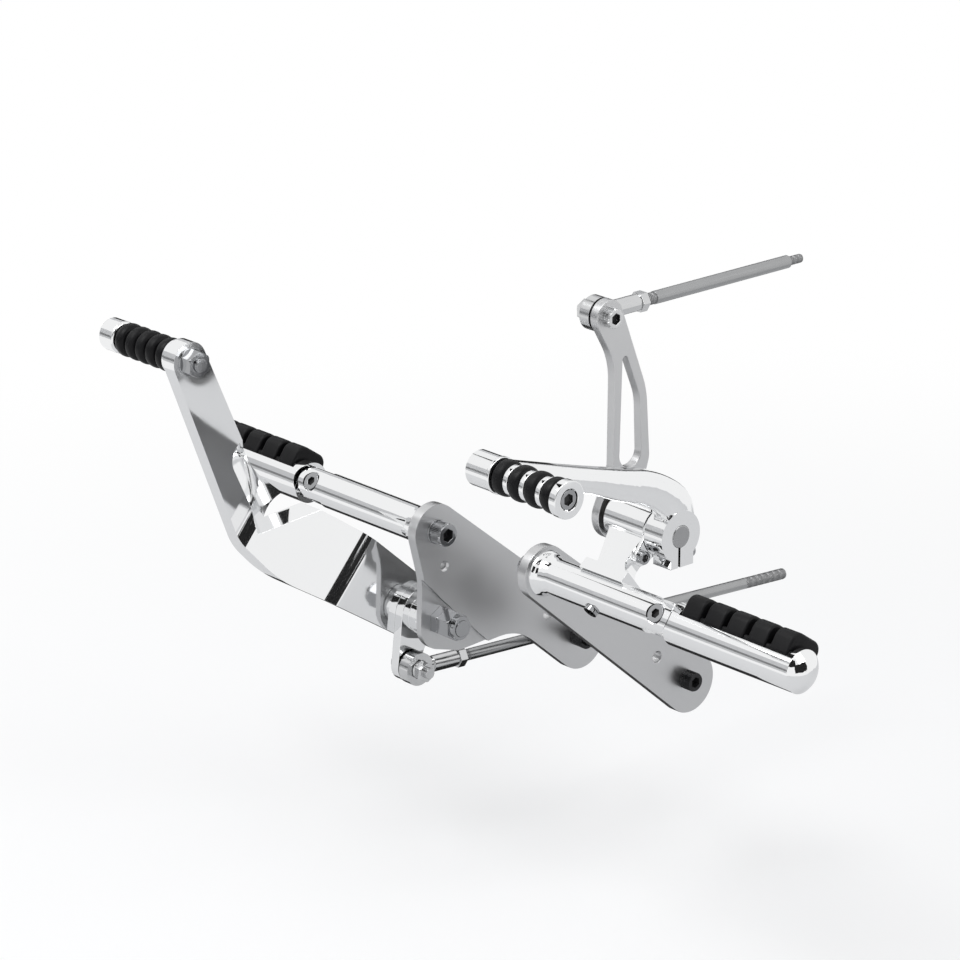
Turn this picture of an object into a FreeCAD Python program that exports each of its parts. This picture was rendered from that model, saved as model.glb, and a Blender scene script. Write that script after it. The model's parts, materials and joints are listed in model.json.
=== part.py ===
"""A forward footrest set for a motorbike: the brake side and the shift side.

Lengths are millimetres and angles are degrees. The set is built about its own centre, where the
common axis of both footpegs crosses the bike's middle plane: X runs along the footpegs, outwards
on the shift side, Y runs to the rear and Z runs up. Each piece's Placement then moves that centre
so that the origin is the shift plate's frame hole, on the face that meets the bike's frame.
"""
import FreeCAD, Part
import math
import os
import Sketcher

doc = FreeCAD.newDocument("footrest_set")
sheet = doc.addObject("Spreadsheet::Sheet", "Sizes")
origin_roles = ("YZ_Plane", "XY_Plane")


class Size:
    """A number together with the expression that it comes from in the sheet."""

    def __init__(self, value, text):
        self.value = float(value)
        self.text = text

    def _with(self, other, symbol, value, swapped=False):
        other_text = other.text if isinstance(other, Size) else repr(float(other))
        pair = (other_text, self.text) if swapped else (self.text, other_text)
        return Size(value, "(%s %s %s)" % (pair[0], symbol, pair[1]))

    def __add__(self, other):
        return self._with(other, "+", self.value + float(other))

    def __radd__(self, other):
        return self._with(other, "+", float(other) + self.value, True)

    def __sub__(self, other):
        return self._with(other, "-", self.value - float(other))

    def __rsub__(self, other):
        return self._with(other, "-", float(other) - self.value, True)

    def __mul__(self, other):
        return self._with(other, "*", self.value * float(other))

    def __rmul__(self, other):
        return self._with(other, "*", float(other) * self.value, True)

    def __truediv__(self, other):
        return self._with(other, "/", self.value / float(other))

    def __neg__(self):
        return Size(-self.value, "(0 - %s)" % self.text)

    def __float__(self):
        return self.value


def cosine(angle):
    return Size(math.cos(math.radians(float(angle))), "cos(%s)" % angle.text)


def sine(angle):
    return Size(math.sin(math.radians(float(angle))), "sin(%s)" % angle.text)


sheet_rows = []


def size(alias, value, note):
    """One driving dimension: a row of the sheet, and the Size that the script builds with."""
    row = len(sheet_rows) + 1
    sheet_rows.append(alias)
    sheet.set("A%d" % row, note)
    sheet.set("B%d" % row, "%s" % value)
    sheet.setAlias("B%d" % row, alias)
    return Size(value, "Sizes.%s" % alias)


# Driving dimensions, side plates
plate_gap = size("plate_gap", 105.0, "between the plates' inner faces")
plate_thick = size("plate_thick", 8.0, "side plate")
lobe_radius = size("lobe_radius", 19.5, "plate round the peg support")
rear_lobe_radius = size("rear_lobe_radius", 22.5, "plate round the frame bolt")
plate_slope = size("plate_slope", 40.0, "the plate's fall to the rear")
rear_lobe_reach = size("rear_lobe_reach", 183.5, "peg axis to the plate's rear lobe")
bolt_inset = size("bolt_inset", 6.5, "the frame bolt, nearer than the middle of that lobe")
hole_spacing = size("hole_spacing", 37.5, "frame bolt to the open frame hole")
frame_hole_radius = size("frame_hole_radius", 4.3, "open frame hole")
small_hole_radius = size("small_hole_radius", 2.6, "countersunk hole in the brake plate")
milled_depth = size("milled_depth", 3.0, "lowered face round the brake pivot nut")

# Peg supports and folding footpegs
support_radius = size("support_radius", 12.8, "round bar that carries the footpeg")
flare_radius = size("flare_radius", 16.5, "the bar's foot on the plate")
flare_length = size("flare_length", 12.0, "length of the flare")
peg_pivot_reach = size("peg_pivot_reach", 177.0, "middle plane to the folding pivot")
pivot_tilt = size("pivot_tilt", 35.0, "folding axis above the horizontal")
slot_width = size("slot_width", 12.0, "clevis slot in the support")
slot_depth = size("slot_depth", 11.8, "slot behind the pivot axis")
peg_radius = size("peg_radius", 15.0, "footpeg body")
peg_face = size("peg_face", 12.0, "pivot axis to the footpeg's end face")
peg_length = size("peg_length", 132.0, "pivot axis to the footpeg's tip")
peg_hollow_radius = size("peg_hollow_radius", 15.3, "hollow end that clears the clevis")
tongue_gap = size("tongue_gap", 0.2, "tongue to each jaw")
rubber_count = 5
rubber_pitch = size("rubber_pitch", 20.0, "one rubber block to the next")
rubber_start = size("rubber_start", 21.0, "pivot axis to the rubber")
rubber_crown = size("rubber_crown", 22.3, "peg axis to the rubber's crown")
rubber_seat = size("rubber_seat", 4.5, "peg axis to the flat under the rubber")
rubber_groove = size("rubber_groove", 4.2, "groove between blocks")
rubber_base = size("rubber_base", 4.0, "rubber under the grooves")

# Screws, nuts and running clearances
running_gap = size("running_gap", 0.05, "shaft in its bore, on the radius")
seat_gap = size("seat_gap", 0.3, "side clearance of a moving face")
bolt_radius = size("bolt_radius", 4.0, "eight millimetre screw")
bolt_head_radius = size("bolt_head_radius", 6.5, "its socket head")
bolt_nut_flats = size("bolt_nut_flats", 13.0, "its nut across flats")
bolt_nut_height = size("bolt_nut_height", 6.5, "its nut")
tube_screw_radius = size("tube_screw_radius", 5.0, "screw that holds a support")
tube_head_radius = size("tube_head_radius", 8.0, "its socket head")
washer_thick = size("washer_thick", 1.6, "plain washer")
flush_depth = size("flush_depth", 4.0, "countersink of the brake plate's frame bolt")
frame_spacer_length = size("frame_spacer_length", 12.0, "distance bush on the frame bolt")
frame_bolt_end = size("frame_bolt_end", 32.0, "frame bolt beyond the plate's inner face")
pivot_bolt_radius = size("pivot_bolt_radius", 6.0, "brake lever pivot bolt")
pivot_nut_flats = size("pivot_nut_flats", 19.0, "its nuts across flats")
bush_wall = size("bush_wall", 2.0, "bronze bush")

# Brake lever
pivot_y = size("pivot_y", 6.0, "brake pivot behind the peg axis")
pivot_z = size("pivot_z", -69.0, "brake pivot below the peg axis")
toe_y = size("toe_y", -139.0, "toe peg in front of the peg axis")
toe_z = size("toe_z", 131.0, "toe peg above the peg axis")
lever_slope = size("lever_slope", 40.7, "rise of the lever's root")
lever_thick = size("lever_thick", 12.0, "lever wall")
lever_root_x = size("lever_root_x", 80.0, "lever's inner face at the pivot")
lever_toe_x = size("lever_toe_x", 149.0, "lever's inner face at the toe peg")
lever_root_radius = size("lever_root_radius", 21.5, "lever round the pivot")
lever_eye_radius = size("lever_eye_radius", 14.0, "lever round the toe peg")
lever_kick_start = size("lever_kick_start", 80.0, "pivot to the start of the kick")
lever_kick_run = size("lever_kick_run", 31.0, "length of the kick along the lever")
scoop_radius = size("scoop_radius", 28.0, "round scoop where the kick meets the arm")
scoop_depth = size("scoop_depth", 4.2, "depth of the scoop")
rod_arm_thick = size("rod_arm_thick", 7.5, "arm that pushes the brake rod")
rod_arm_radius = size("rod_arm_radius", 21.0, "rod arm round the pivot")
rod_boss_radius = size("rod_boss_radius", 15.0, "boss between rod arm and plate")
rod_pin_y = size("rod_pin_y", -7.5, "brake rod pin behind the peg axis")
rod_pin_z = size("rod_pin_z", -105.0, "brake rod pin below the peg axis")

# Rod ends and rods
ball_radius = size("ball_radius", 8.0, "rod end ball")
ball_width = size("ball_width", 12.0, "ball between its flats")
eye_radius = size("eye_radius", 12.0, "rod end head")
eye_width = size("eye_width", 9.0, "rod end head")
neck_radius = size("neck_radius", 4.9, "rod end, behind its head")
neck_length = size("neck_length", 14.0, "ball centre to the shank's shoulder")
shank_radius = size("shank_radius", 5.9, "rod end shank")
shank_length = size("shank_length", 37.0, "ball centre to the shank's end")
rod_radius = size("rod_radius", 4.0, "brake rod")
rod_length = size("rod_length", 373.0, "brake rod from the ball centre")
rod_fall = size("rod_fall", 3.4, "fall of the brake rod to the rear")
shift_rod_radius = size("shift_rod_radius", 4.6, "shift rod")
shift_rod_length = size("shift_rod_length", 183.0, "shift rod from the ball centre to its shoulder")
stub_radius = size("stub_radius", 3.0, "thread at the shift rod's end")
stub_length = size("stub_length", 13.0, "length of that thread")

# Shift shaft, carrier and levers
shaft_reach = size("shaft_reach", 60.0, "peg axis to the shift shaft")
carrier_tilt = size("carrier_tilt", 51.4, "carrier's lean to the rear")
shaft_radius = size("shaft_radius", 8.0, "shift shaft")
barrel_radius = size("barrel_radius", 16.0, "carrier barrel")
barrel_start = size("barrel_start", 84.0, "middle plane to the barrel")
barrel_length = size("barrel_length", 38.0, "carrier barrel")
bar_inset = size("bar_inset", 18.0, "barrel's inner end to the neck's foot")
bar_length = size("bar_length", 29.0, "carrier's neck where it stands on its foot")
foot_wrap = size("foot_wrap", 5.0, "carrier's foot, down each side of the support")
foot_top = size("foot_top", 3.6, "carrier's foot above the support")
foot_half = size("foot_half", 13.5, "half the width of that foot")
arm_thick = size("arm_thick", 7.0, "slotted arm")
arm_x = size("arm_x", 74.0, "slotted arm's inner face")
arm_eye_y = size("arm_eye_y", 38.0, "shift rod pin behind the peg axis")
arm_eye_z = size("arm_eye_z", 179.0, "shift rod pin above the peg axis")
arm_hub_radius = size("arm_hub_radius", 18.0, "slotted arm round the shaft")
carrier_screw_radius = size("carrier_screw_radius", 3.0, "screw that holds the carrier")
carrier_head_radius = size("carrier_head_radius", 5.0, "its socket head")
hub_length = size("hub_length", 17.0, "shift lever clamp")
hub_radius = size("hub_radius", 18.0, "shift lever clamp")
keeper_drop = size("keeper_drop", 24.0, "shift shaft to the keeper's screw")
keeper_thick = size("keeper_thick", 3.0, "keyhole keeper on the barrel's end")
toe_boss_radius = size("toe_boss_radius", 12.0, "shift lever's boss at its toe peg")
toe_core_radius = size("toe_core_radius", 7.5, "toe peg core")
toe_ring_radius = size("toe_ring_radius", 12.0, "toe peg rubber rings")
toe_ring_pitch = size("toe_ring_pitch", 11.2, "brake toe peg, one ring to the next")
shift_ring_pitch = size("shift_ring_pitch", 15.0, "shift toe peg, one ring to the next")
toe_cap_length = size("toe_cap_length", 15.0, "brake toe peg's end cap")

doc.recompute()

# Places worked out from the driving dimensions
half_gap = plate_gap / 2
plate_outer = half_gap + plate_thick
bolt_reach = rear_lobe_reach - bolt_inset
hole_reach = bolt_reach - hole_spacing
hole_y = hole_reach * cosine(plate_slope)
hole_z = -(hole_reach * sine(plate_slope))
bolt_y = bolt_reach * cosine(plate_slope)
bolt_z = -(bolt_reach * sine(plate_slope))
rear_y = rear_lobe_reach * cosine(plate_slope)
rear_z = -(rear_lobe_reach * sine(plate_slope))
shaft_y = shaft_reach * sine(carrier_tilt)
shaft_z = shaft_reach * cosine(carrier_tilt)
peg_lean = 90.0 - pivot_tilt
carrier_lean = 90.0 - carrier_tilt
arm_outer = arm_x + arm_thick
keeper_x = barrel_start + barrel_length
hub_x = keeper_x + keeper_thick + 0.5
shaft_end = hub_x + hub_length + 0.5
rod_x = -(lever_root_x - rod_arm_thick - ball_width / 2)
shift_rod_x = arm_x - ball_width / 2

carrier_screw_x = barrel_start + bar_inset + bar_length / 2

parts = []


def put(target, prop, value):
    """Binds a property to its expression, or sets a bare number."""
    if isinstance(value, Size):
        target.setExpression(prop, value.text)
    else:
        setattr(target, prop, value)


def base(target, x, y, z, prop="Placement.Base"):
    for axis, value in zip("xyz", (x, y, z)):
        value = value if isinstance(value, Size) else Size(value, repr(float(value)))
        target.setExpression("%s.%s" % (prop, axis), value.text)


def turned(axis, angle):
    return FreeCAD.Placement(FreeCAD.Vector(), FreeCAD.Rotation(FreeCAD.Vector(*axis), float(angle)))


def finish(piece, label, lean=None):
    """Names a finished piece and moves it from the set's centre to the row's origin.

    A piece with a lean was drawn upright, with its Y pointing away from the peg axis."""
    piece.Label = label
    if lean is not None:
        piece.Placement = turned((1, 0, 0), lean)
        piece.setExpression("Placement.Rotation.Angle", lean.text)
    base(piece, -half_gap, -hole_y, -hole_z)
    parts.append(piece)
    return piece


# Primitives along an axis. The turn sends a primitive's own Z to that axis.
ALONG = {"X": (0, 1, 0, 90), "Y": (1, 0, 0, -90), "Z": (0, 0, 1, 0)}


def solid(kind, name, along, at, **sizes):
    piece = doc.addObject(kind, name)
    turn = ALONG[along]
    piece.Placement = turned(turn[:3], turn[3])
    base(piece, *at)
    for prop, value in sizes.items():
        put(piece, prop, value)
    return piece


def rod(name, radius, start, end, y, z):
    """A round bar along X, from start to end."""
    return solid("Part::Cylinder", name, "X", (start, y, z), Radius=radius, Height=end - start)


def hexagon(name, flats, start, end, y, z, along="X"):
    at = (start, y, z) if along == "X" else (y, start, z)
    piece = solid("Part::Prism", name, along, at, Height=end - start)
    piece.Polygon = 6
    piece.setExpression("Circumradius", (flats / math.sqrt(3)).text)
    return piece


def joined(name, *pieces):
    fuse = doc.addObject("Part::MultiFuse", name)
    fuse.Shapes = list(pieces)
    return fuse


def cut(name, body, *tools):
    tool = tools[0] if len(tools) == 1 else joined(name + "_tools", *tools)
    made = doc.addObject("Part::Cut", name)
    made.Base = body
    made.Tool = tool
    return made


def common(name, first, second):
    made = doc.addObject("Part::Common", name)
    made.Base = first
    made.Tool = second
    return made


def eased_nut(name, flats, start, end, y, z, bore, along="X"):
    """A hexagon nut whose corners are turned off at both ends."""
    block = hexagon(name + "_hex", flats, start, end, y, z, along)
    at = (start, y, z) if along == "X" else (y, start, z)
    corner = flats / math.sqrt(3)
    barrel = solid("Part::Cylinder", name + "_turned", along, at, Radius=corner, Height=end - start)
    eased = doc.addObject("Part::Chamfer", name + "_eased")
    eased.Base = barrel
    depth = float(corner) - float(flats) / 2
    eased.Edges = [(1, depth, depth / 2), (3, depth, depth / 2)]
    hole = solid("Part::Cylinder", name + "_hole", along, at, Radius=bore, Height=end - start)
    return cut(name, common(name + "_body", block, eased), hole)


def socket_screw(name, shank, head, head_height, under, tip, y, z, inward):
    """A socket-head screw along X: the head stands on plane `under`, the shank ends at `tip`."""
    top = under - head_height if inward > 0 else under + head_height
    low, high = (top, under) if inward > 0 else (under, top)
    start, end = (under, tip) if inward > 0 else (tip, under)
    head_body = rod(name + "_head", head, low, high, y, z)
    shank_body = rod(name + "_shank", shank, start, end, y, z)
    depth = head_height * 0.55
    key_low, key_high = (top, top + depth) if inward > 0 else (top - depth, top)
    key = hexagon(name + "_key", head * 1.1, key_low, key_high, y, z)
    return cut(name, joined(name + "_body", head_body, shank_body), key)


# Sketch outlines. An outline is a belt round circles: an arc on each circle, and the straight
# lines that touch two neighbours. A circle with side -1 lies outside the outline, so its arc is hollow.
def belt(sketch, circles):
    """Adds the belt to the sketch, each centre and radius bound to the sheet."""
    count = len(circles)
    touch = []
    for i in range(count):
        cx, cy, cr, side = circles[i]
        nx, ny, nr, next_side = circles[(i + 1) % count]
        dx, dy = float(nx) - float(cx), float(ny) - float(cy)
        lean = math.asin((next_side * float(nr) - side * float(cr)) / math.hypot(dx, dy))
        heading = math.atan2(dy, dx) - lean
        normal = (-math.sin(heading), math.cos(heading))
        leave = (float(cx) - side * float(cr) * normal[0], float(cy) - side * float(cr) * normal[1])
        reach = (float(nx) - next_side * float(nr) * normal[0], float(ny) - next_side * float(nr) * normal[1])
        touch.append((leave, reach))
    arcs, lines = [], []
    for i in range(count):
        cx, cy, cr, side = circles[i]
        enter, leave = touch[i - 1][1], touch[i][0]
        first, last = (enter, leave) if side > 0 else (leave, enter)
        angles = [math.atan2(p[1] - float(cy), p[0] - float(cx)) for p in (first, last)]
        centre = FreeCAD.Vector(float(cx), float(cy), 0)
        round_ = Part.Circle(centre, FreeCAD.Vector(0, 0, 1), float(cr))
        arcs.append(sketch.addGeometry(Part.ArcOfCircle(round_, angles[0], angles[1]), False))
        ends = [FreeCAD.Vector(p[0], p[1], 0) for p in touch[i]]
        lines.append(sketch.addGeometry(Part.LineSegment(ends[0], ends[1]), False))
    for i in range(count):
        side, next_side = circles[i][3], circles[(i + 1) % count][3]
        leaving = 2 if side > 0 else 1
        entering = 1 if next_side > 0 else 2
        sketch.addConstraint(Sketcher.Constraint("Tangent", arcs[i], leaving, lines[i], 1))
        sketch.addConstraint(Sketcher.Constraint("Tangent", lines[i], 2, arcs[(i + 1) % count], entering))
        for kind, value in (("DistanceX", circles[i][0]), ("DistanceY", circles[i][1])):
            row = sketch.addConstraint(Sketcher.Constraint(kind, -1, 1, arcs[i], 3, float(value)))
            if isinstance(value, Size):
                sketch.setExpression("Constraints[%d]" % row, value.text)
        row = sketch.addConstraint(Sketcher.Constraint("Radius", arcs[i], float(circles[i][2])))
        if isinstance(circles[i][2], Size):
            sketch.setExpression("Constraints[%d]" % row, circles[i][2].text)


def circle(sketch, x, y, radius):
    made = sketch.addGeometry(Part.Circle(FreeCAD.Vector(float(x), float(y), 0),
                                          FreeCAD.Vector(0, 0, 1), float(radius)), False)
    for kind, value in (("DistanceX", x), ("DistanceY", y)):
        row = sketch.addConstraint(Sketcher.Constraint(kind, -1, 1, made, 3, float(value)))
        if isinstance(value, Size):
            sketch.setExpression("Constraints[%d]" % row, value.text)
    row = sketch.addConstraint(Sketcher.Constraint("Radius", made, float(radius)))
    if isinstance(radius, Size):
        sketch.setExpression("Constraints[%d]" % row, radius.text)


def polygon(sketch, points):
    """A closed outline of straight lines, every corner bound to the sheet."""
    count = len(points)
    vectors = [FreeCAD.Vector(float(p[0]), float(p[1]), 0) for p in points]
    lines = [sketch.addGeometry(Part.LineSegment(vectors[i], vectors[(i + 1) % count]), False)
             for i in range(count)]
    for i in range(count):
        sketch.addConstraint(Sketcher.Constraint("Coincident", lines[i], 2, lines[(i + 1) % count], 1))
        for kind, value in (("DistanceX", points[i][0]), ("DistanceY", points[i][1])):
            row = sketch.addConstraint(Sketcher.Constraint(kind, -1, 1, lines[i], 1, float(value)))
            if isinstance(value, Size):
                sketch.setExpression("Constraints[%d]" % row, value.text)


def new_body(name):
    return doc.addObject("PartDesign::Body", name)


def new_sketch(body, name, role, offset=0.0):
    """A sketch on one of the body's origin planes, moved along the plane's normal."""
    sketch = body.newObject("Sketcher::SketchObject", name)
    plane = [f for f in body.Origin.OriginFeatures if f.Role == role][0]
    sketch.AttachmentSupport = [(plane, "")]
    sketch.MapMode = "FlatFace"
    if isinstance(offset, Size):
        sketch.setExpression("AttachmentOffset.Base.z", offset.text)
    else:
        sketch.AttachmentOffset = FreeCAD.Placement(FreeCAD.Vector(0, 0, offset), FreeCAD.Rotation())
    return sketch


def pad(body, sketch, length, midplane=False):
    feature = body.newObject("PartDesign::Pad", sketch.Name + "_pad")
    feature.Profile = sketch
    put(feature, "Length", length)
    feature.SideType = "Symmetric" if midplane else "One side"
    return feature


def pocket(body, sketch, length, reverse=False, through=False):
    feature = body.newObject("PartDesign::Pocket", sketch.Name + "_pocket")
    feature.Profile = sketch
    if through:
        feature.Type = "ThroughAll"
        feature.SideType = "Symmetric"
    else:
        put(feature, "Length", length)
    feature.Reversed = reverse
    return feature


def revolve(body, sketch, axis):
    feature = body.newObject("PartDesign::Revolution", sketch.Name + "_turned")
    feature.Profile = sketch
    feature.ReferenceAxis = (sketch, [axis])
    feature.Angle = 360.0
    return feature


# Side plates
def side_plate(name, side):
    """A flat plate cut from sheet: a link from the peg support to the two frame fixings."""
    body = new_body(name)
    inner = half_gap if side > 0 else -plate_outer
    outline = new_sketch(body, name + "_outline", "YZ_Plane", inner)
    rear = (rear_y, rear_z, rear_lobe_radius, 1)
    if side > 0:
        belt(outline, [(0.0, 0.0, lobe_radius, 1), rear])
    else:
        belt(outline, [(0.0, 0.0, lobe_radius, 1), (-71.0, -43.0, 60.0, -1),
                       (pivot_y + 2.0, pivot_z - 2.0, 20.0, 1), (pivot_y + 20.0, pivot_z - 12.0, 15.5, 1),
                       (62.0, pivot_z - 70.5, 45.0, -1), rear])
    pad(body, outline, plate_thick)
    holes = new_sketch(body, name + "_holes", "YZ_Plane", inner)
    circle(holes, 0.0, 0.0, tube_screw_radius + 0.3)
    circle(holes, hole_y, hole_z, frame_hole_radius)
    circle(holes, bolt_y, bolt_z, bolt_radius + 0.15)
    if side < 0:
        circle(holes, pivot_y, pivot_z, pivot_bolt_radius + 0.15)
        circle(holes, 7.5, -28.0, small_hole_radius)
    pocket(body, holes, 0, through=True)
    doc.recompute()
    if side < 0:
        lowered = new_sketch(body, name + "_lowered", "YZ_Plane", -half_gap)
        belt(lowered, [(43.0, -18.0, 51.0, -1), (-25.0, -24.0, 3.0, 1),
                       (-25.0, -112.0, 3.0, 1), (62.0, -112.0, 3.0, 1)])
        pocket(body, lowered, milled_depth)
        sink = new_sketch(body, name + "_sink", "YZ_Plane", -half_gap)
        circle(sink, 7.5, -28.0, small_hole_radius + 1.4)
        cone = pocket(body, sink, 1.4)
        cone.TaperAngle = -44.0
        flush = new_sketch(body, name + "_flush", "YZ_Plane", -plate_outer)
        circle(flush, bolt_y, bolt_z, bolt_radius + flush_depth + 0.15)
        cone = pocket(body, flush, flush_depth, reverse=True)
        cone.TaperAngle = -45.0
    doc.recompute()
    return finish(body, name)


side_plate("shift_plate", 1)
side_plate("brake_plate", -1)


# Peg supports, drawn leaning: X outwards, Y along the crown, Z along the folding axis
def peg_support(name, side):
    s = float(side)
    root = plate_outer * s
    end = (peg_pivot_reach + support_radius) * s
    turned_bar = new_body(name + "_bar")
    profile = new_sketch(turned_bar, name + "_profile", "XY_Plane")
    foot = root + flare_length * s
    points = [(root, 0.0), (root, flare_radius), (root + 2.0 * s, flare_radius - 0.6),
              (root + flare_length * 0.42 * s, support_radius + (flare_radius - support_radius) * 0.28),
              (foot, support_radius), (end, support_radius), (end, 0.0)]
    polygon(profile, points)
    revolve(turned_bar, profile, "H_Axis")
    gauge = new_body(name + "_gauge")
    plan = new_sketch(gauge, name + "_plan", "XY_Plane")
    wide = flare_radius + 6.0
    corners = [((plate_outer - 6.0) * s, wide, 2.0, 1), ((plate_outer - 6.0) * s, -wide, 2.0, 1),
               (peg_pivot_reach * s, 0.0, support_radius, 1)]
    belt(plan, corners if side > 0 else corners[::-1])
    pad(gauge, plan, 4 * flare_radius, midplane=True)
    slot_end = peg_pivot_reach - slot_depth
    low, high = (slot_end, end) if side > 0 else (end, -slot_end)
    slot = solid("Part::Box", name + "_slot", "Z", (low, -2 * support_radius, -slot_width / 2),
                 Length=high - low, Width=4 * support_radius, Height=slot_width)
    pin_x = peg_pivot_reach * s
    pin_hole = solid("Part::Cylinder", name + "_pin_hole", "Z", (pin_x, 0.0, -2 * support_radius),
                     Radius=bolt_radius + 0.02, Height=4 * support_radius)
    head_hole = solid("Part::Cylinder", name + "_head_hole", "Z", (pin_x, 0.0, support_radius - 4.0),
                      Radius=bolt_head_radius + 0.9, Height=support_radius)
    low, high = (root, root + 30.0) if side > 0 else (root - 30.0, root)
    tapped = rod(name + "_tapped", tube_screw_radius + 0.02, low, high, 0.0, 0.0)
    tools = [slot, pin_hole, head_hole, tapped]
    if side > 0:
        for part_name, radius, low in (("_screw_way", carrier_screw_radius + 0.25, -2 * support_radius),
                                       ("_screw_seat", carrier_head_radius + 0.6, support_radius - 2.5)):
            way = doc.addObject("Part::Cylinder", name + part_name)
            put(way, "Radius", radius)
            put(way, "Height", 4 * support_radius)
            across = 180.0 - (carrier_tilt - pivot_tilt)
            way.Placement = turned((1, 0, 0), float(across) - 90.0)
            way.setExpression("Placement.Rotation.Angle", (across - 90.0).text)
            base(way, carrier_screw_x, low * cosine(across), low * sine(across))
            tools.append(way)
    bar = common(name + "_blank", turned_bar, gauge)
    return finish(cut(name, bar, *tools), name, lean=peg_lean)


# Footpegs, drawn leaning in the same way
def footpeg(name, side):
    s = float(side)
    pin_x = peg_pivot_reach * s
    tip = (peg_pivot_reach + peg_length) * s
    body = new_body(name + "_turned")
    profile = new_sketch(body, name + "_profile", "XY_Plane")
    near = (peg_pivot_reach + peg_face) * s
    points = [(near, 0.0), (near, peg_radius), (tip - 7.0 * s, peg_radius), (tip - 4.8 * s, peg_radius - 2.2),
              (tip - 2.8 * s, peg_radius - 5.0), (tip - 1.1 * s, peg_radius - 8.6), (tip - 0.3 * s, peg_radius - 12.0),
              (tip, 0.0)]
    polygon(profile, points)
    revolve(body, profile, "H_Axis")
    hollow = solid("Part::Cylinder", name + "_hollow", "Z", (pin_x, 0.0, -2 * peg_radius),
                   Radius=peg_hollow_radius, Height=4 * peg_radius)
    tongue_height = slot_width - 2 * tongue_gap
    tongue = solid("Part::Cylinder", name + "_tongue_end", "Z", (pin_x, 0.0, -tongue_height / 2),
                   Radius=slot_depth - seat_gap, Height=tongue_height)
    neck_start = pin_x if side > 0 else pin_x - peg_hollow_radius - 4.0
    neck = solid("Part::Box", name + "_neck", "Z", (neck_start, -(slot_depth - seat_gap), -tongue_height / 2),
                 Length=peg_hollow_radius + 4.0, Width=2 * (slot_depth - seat_gap), Height=tongue_height)
    bore = solid("Part::Cylinder", name + "_bore", "Z", (pin_x, 0.0, -peg_radius),
                 Radius=bolt_radius + running_gap, Height=2 * peg_radius)
    length = rubber_pitch * rubber_count
    low = (peg_pivot_reach + rubber_start) if side > 0 else -(peg_pivot_reach + rubber_start + length)
    flat = solid("Part::Box", name + "_flat", "Z", (low, rubber_seat, -2 * peg_radius),
                 Length=length, Width=2 * peg_radius, Height=4 * peg_radius)
    blank = cut(name + "_blank", body, hollow, flat)
    return finish(cut(name, joined(name + "_solid", blank, tongue, neck), bore), name, lean=peg_lean)


def peg_rubber(name, side):
    """One moulding with five blocks, joined by a low base that lies on the footpeg's flat."""
    length = rubber_pitch * rubber_count
    low = (peg_pivot_reach + rubber_start) if side > 0 else -(peg_pivot_reach + rubber_start + length)
    body = new_body(name + "_moulding")
    section = new_sketch(body, name + "_section", "YZ_Plane", low + 0.5)
    shoulder = 7.5
    crown, foot = rubber_crown - shoulder, rubber_seat + 1.2
    wide, narrow = peg_radius - 0.9, peg_radius - shoulder - 0.4
    belt(section, [(foot, wide, 1.2, 1), (foot, -wide, 1.2, 1), (crown, -narrow, shoulder, 1),
                   (crown, narrow, shoulder, 1)])
    pad(body, section, length - 1.0)
    grooves = []
    for i in range(1, rubber_count):
        start = low + rubber_pitch * i - rubber_groove / 2
        place = (start, rubber_seat + rubber_base, -2 * peg_radius)
        grooves.append(solid("Part::Box", "%s_groove_%d" % (name, i), "Z", place,
                             Length=rubber_groove, Width=2 * peg_radius, Height=4 * peg_radius))
    return finish(cut(name, body, *grooves), name, lean=peg_lean)


def fold_pin(name, side):
    """The low-headed socket screw that a footpeg folds on."""
    pin_x = peg_pivot_reach * float(side)
    seat = support_radius - 4.0
    shank = solid("Part::Cylinder", name + "_shank", "Z", (pin_x, 0.0, -(support_radius - 1.0)),
                  Radius=bolt_radius, Height=seat + support_radius - 1.0)
    head = solid("Part::Cylinder", name + "_head", "Z", (pin_x, 0.0, seat), Radius=bolt_head_radius, Height=3.6)
    key = solid("Part::Prism", name + "_key", "Z", (pin_x, 0.0, seat + 1.2), Height=4.0)
    key.Polygon = 6
    key.Circumradius = 3.4
    return finish(cut(name, joined(name + "_body", shank, head), key), name, lean=peg_lean)


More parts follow.
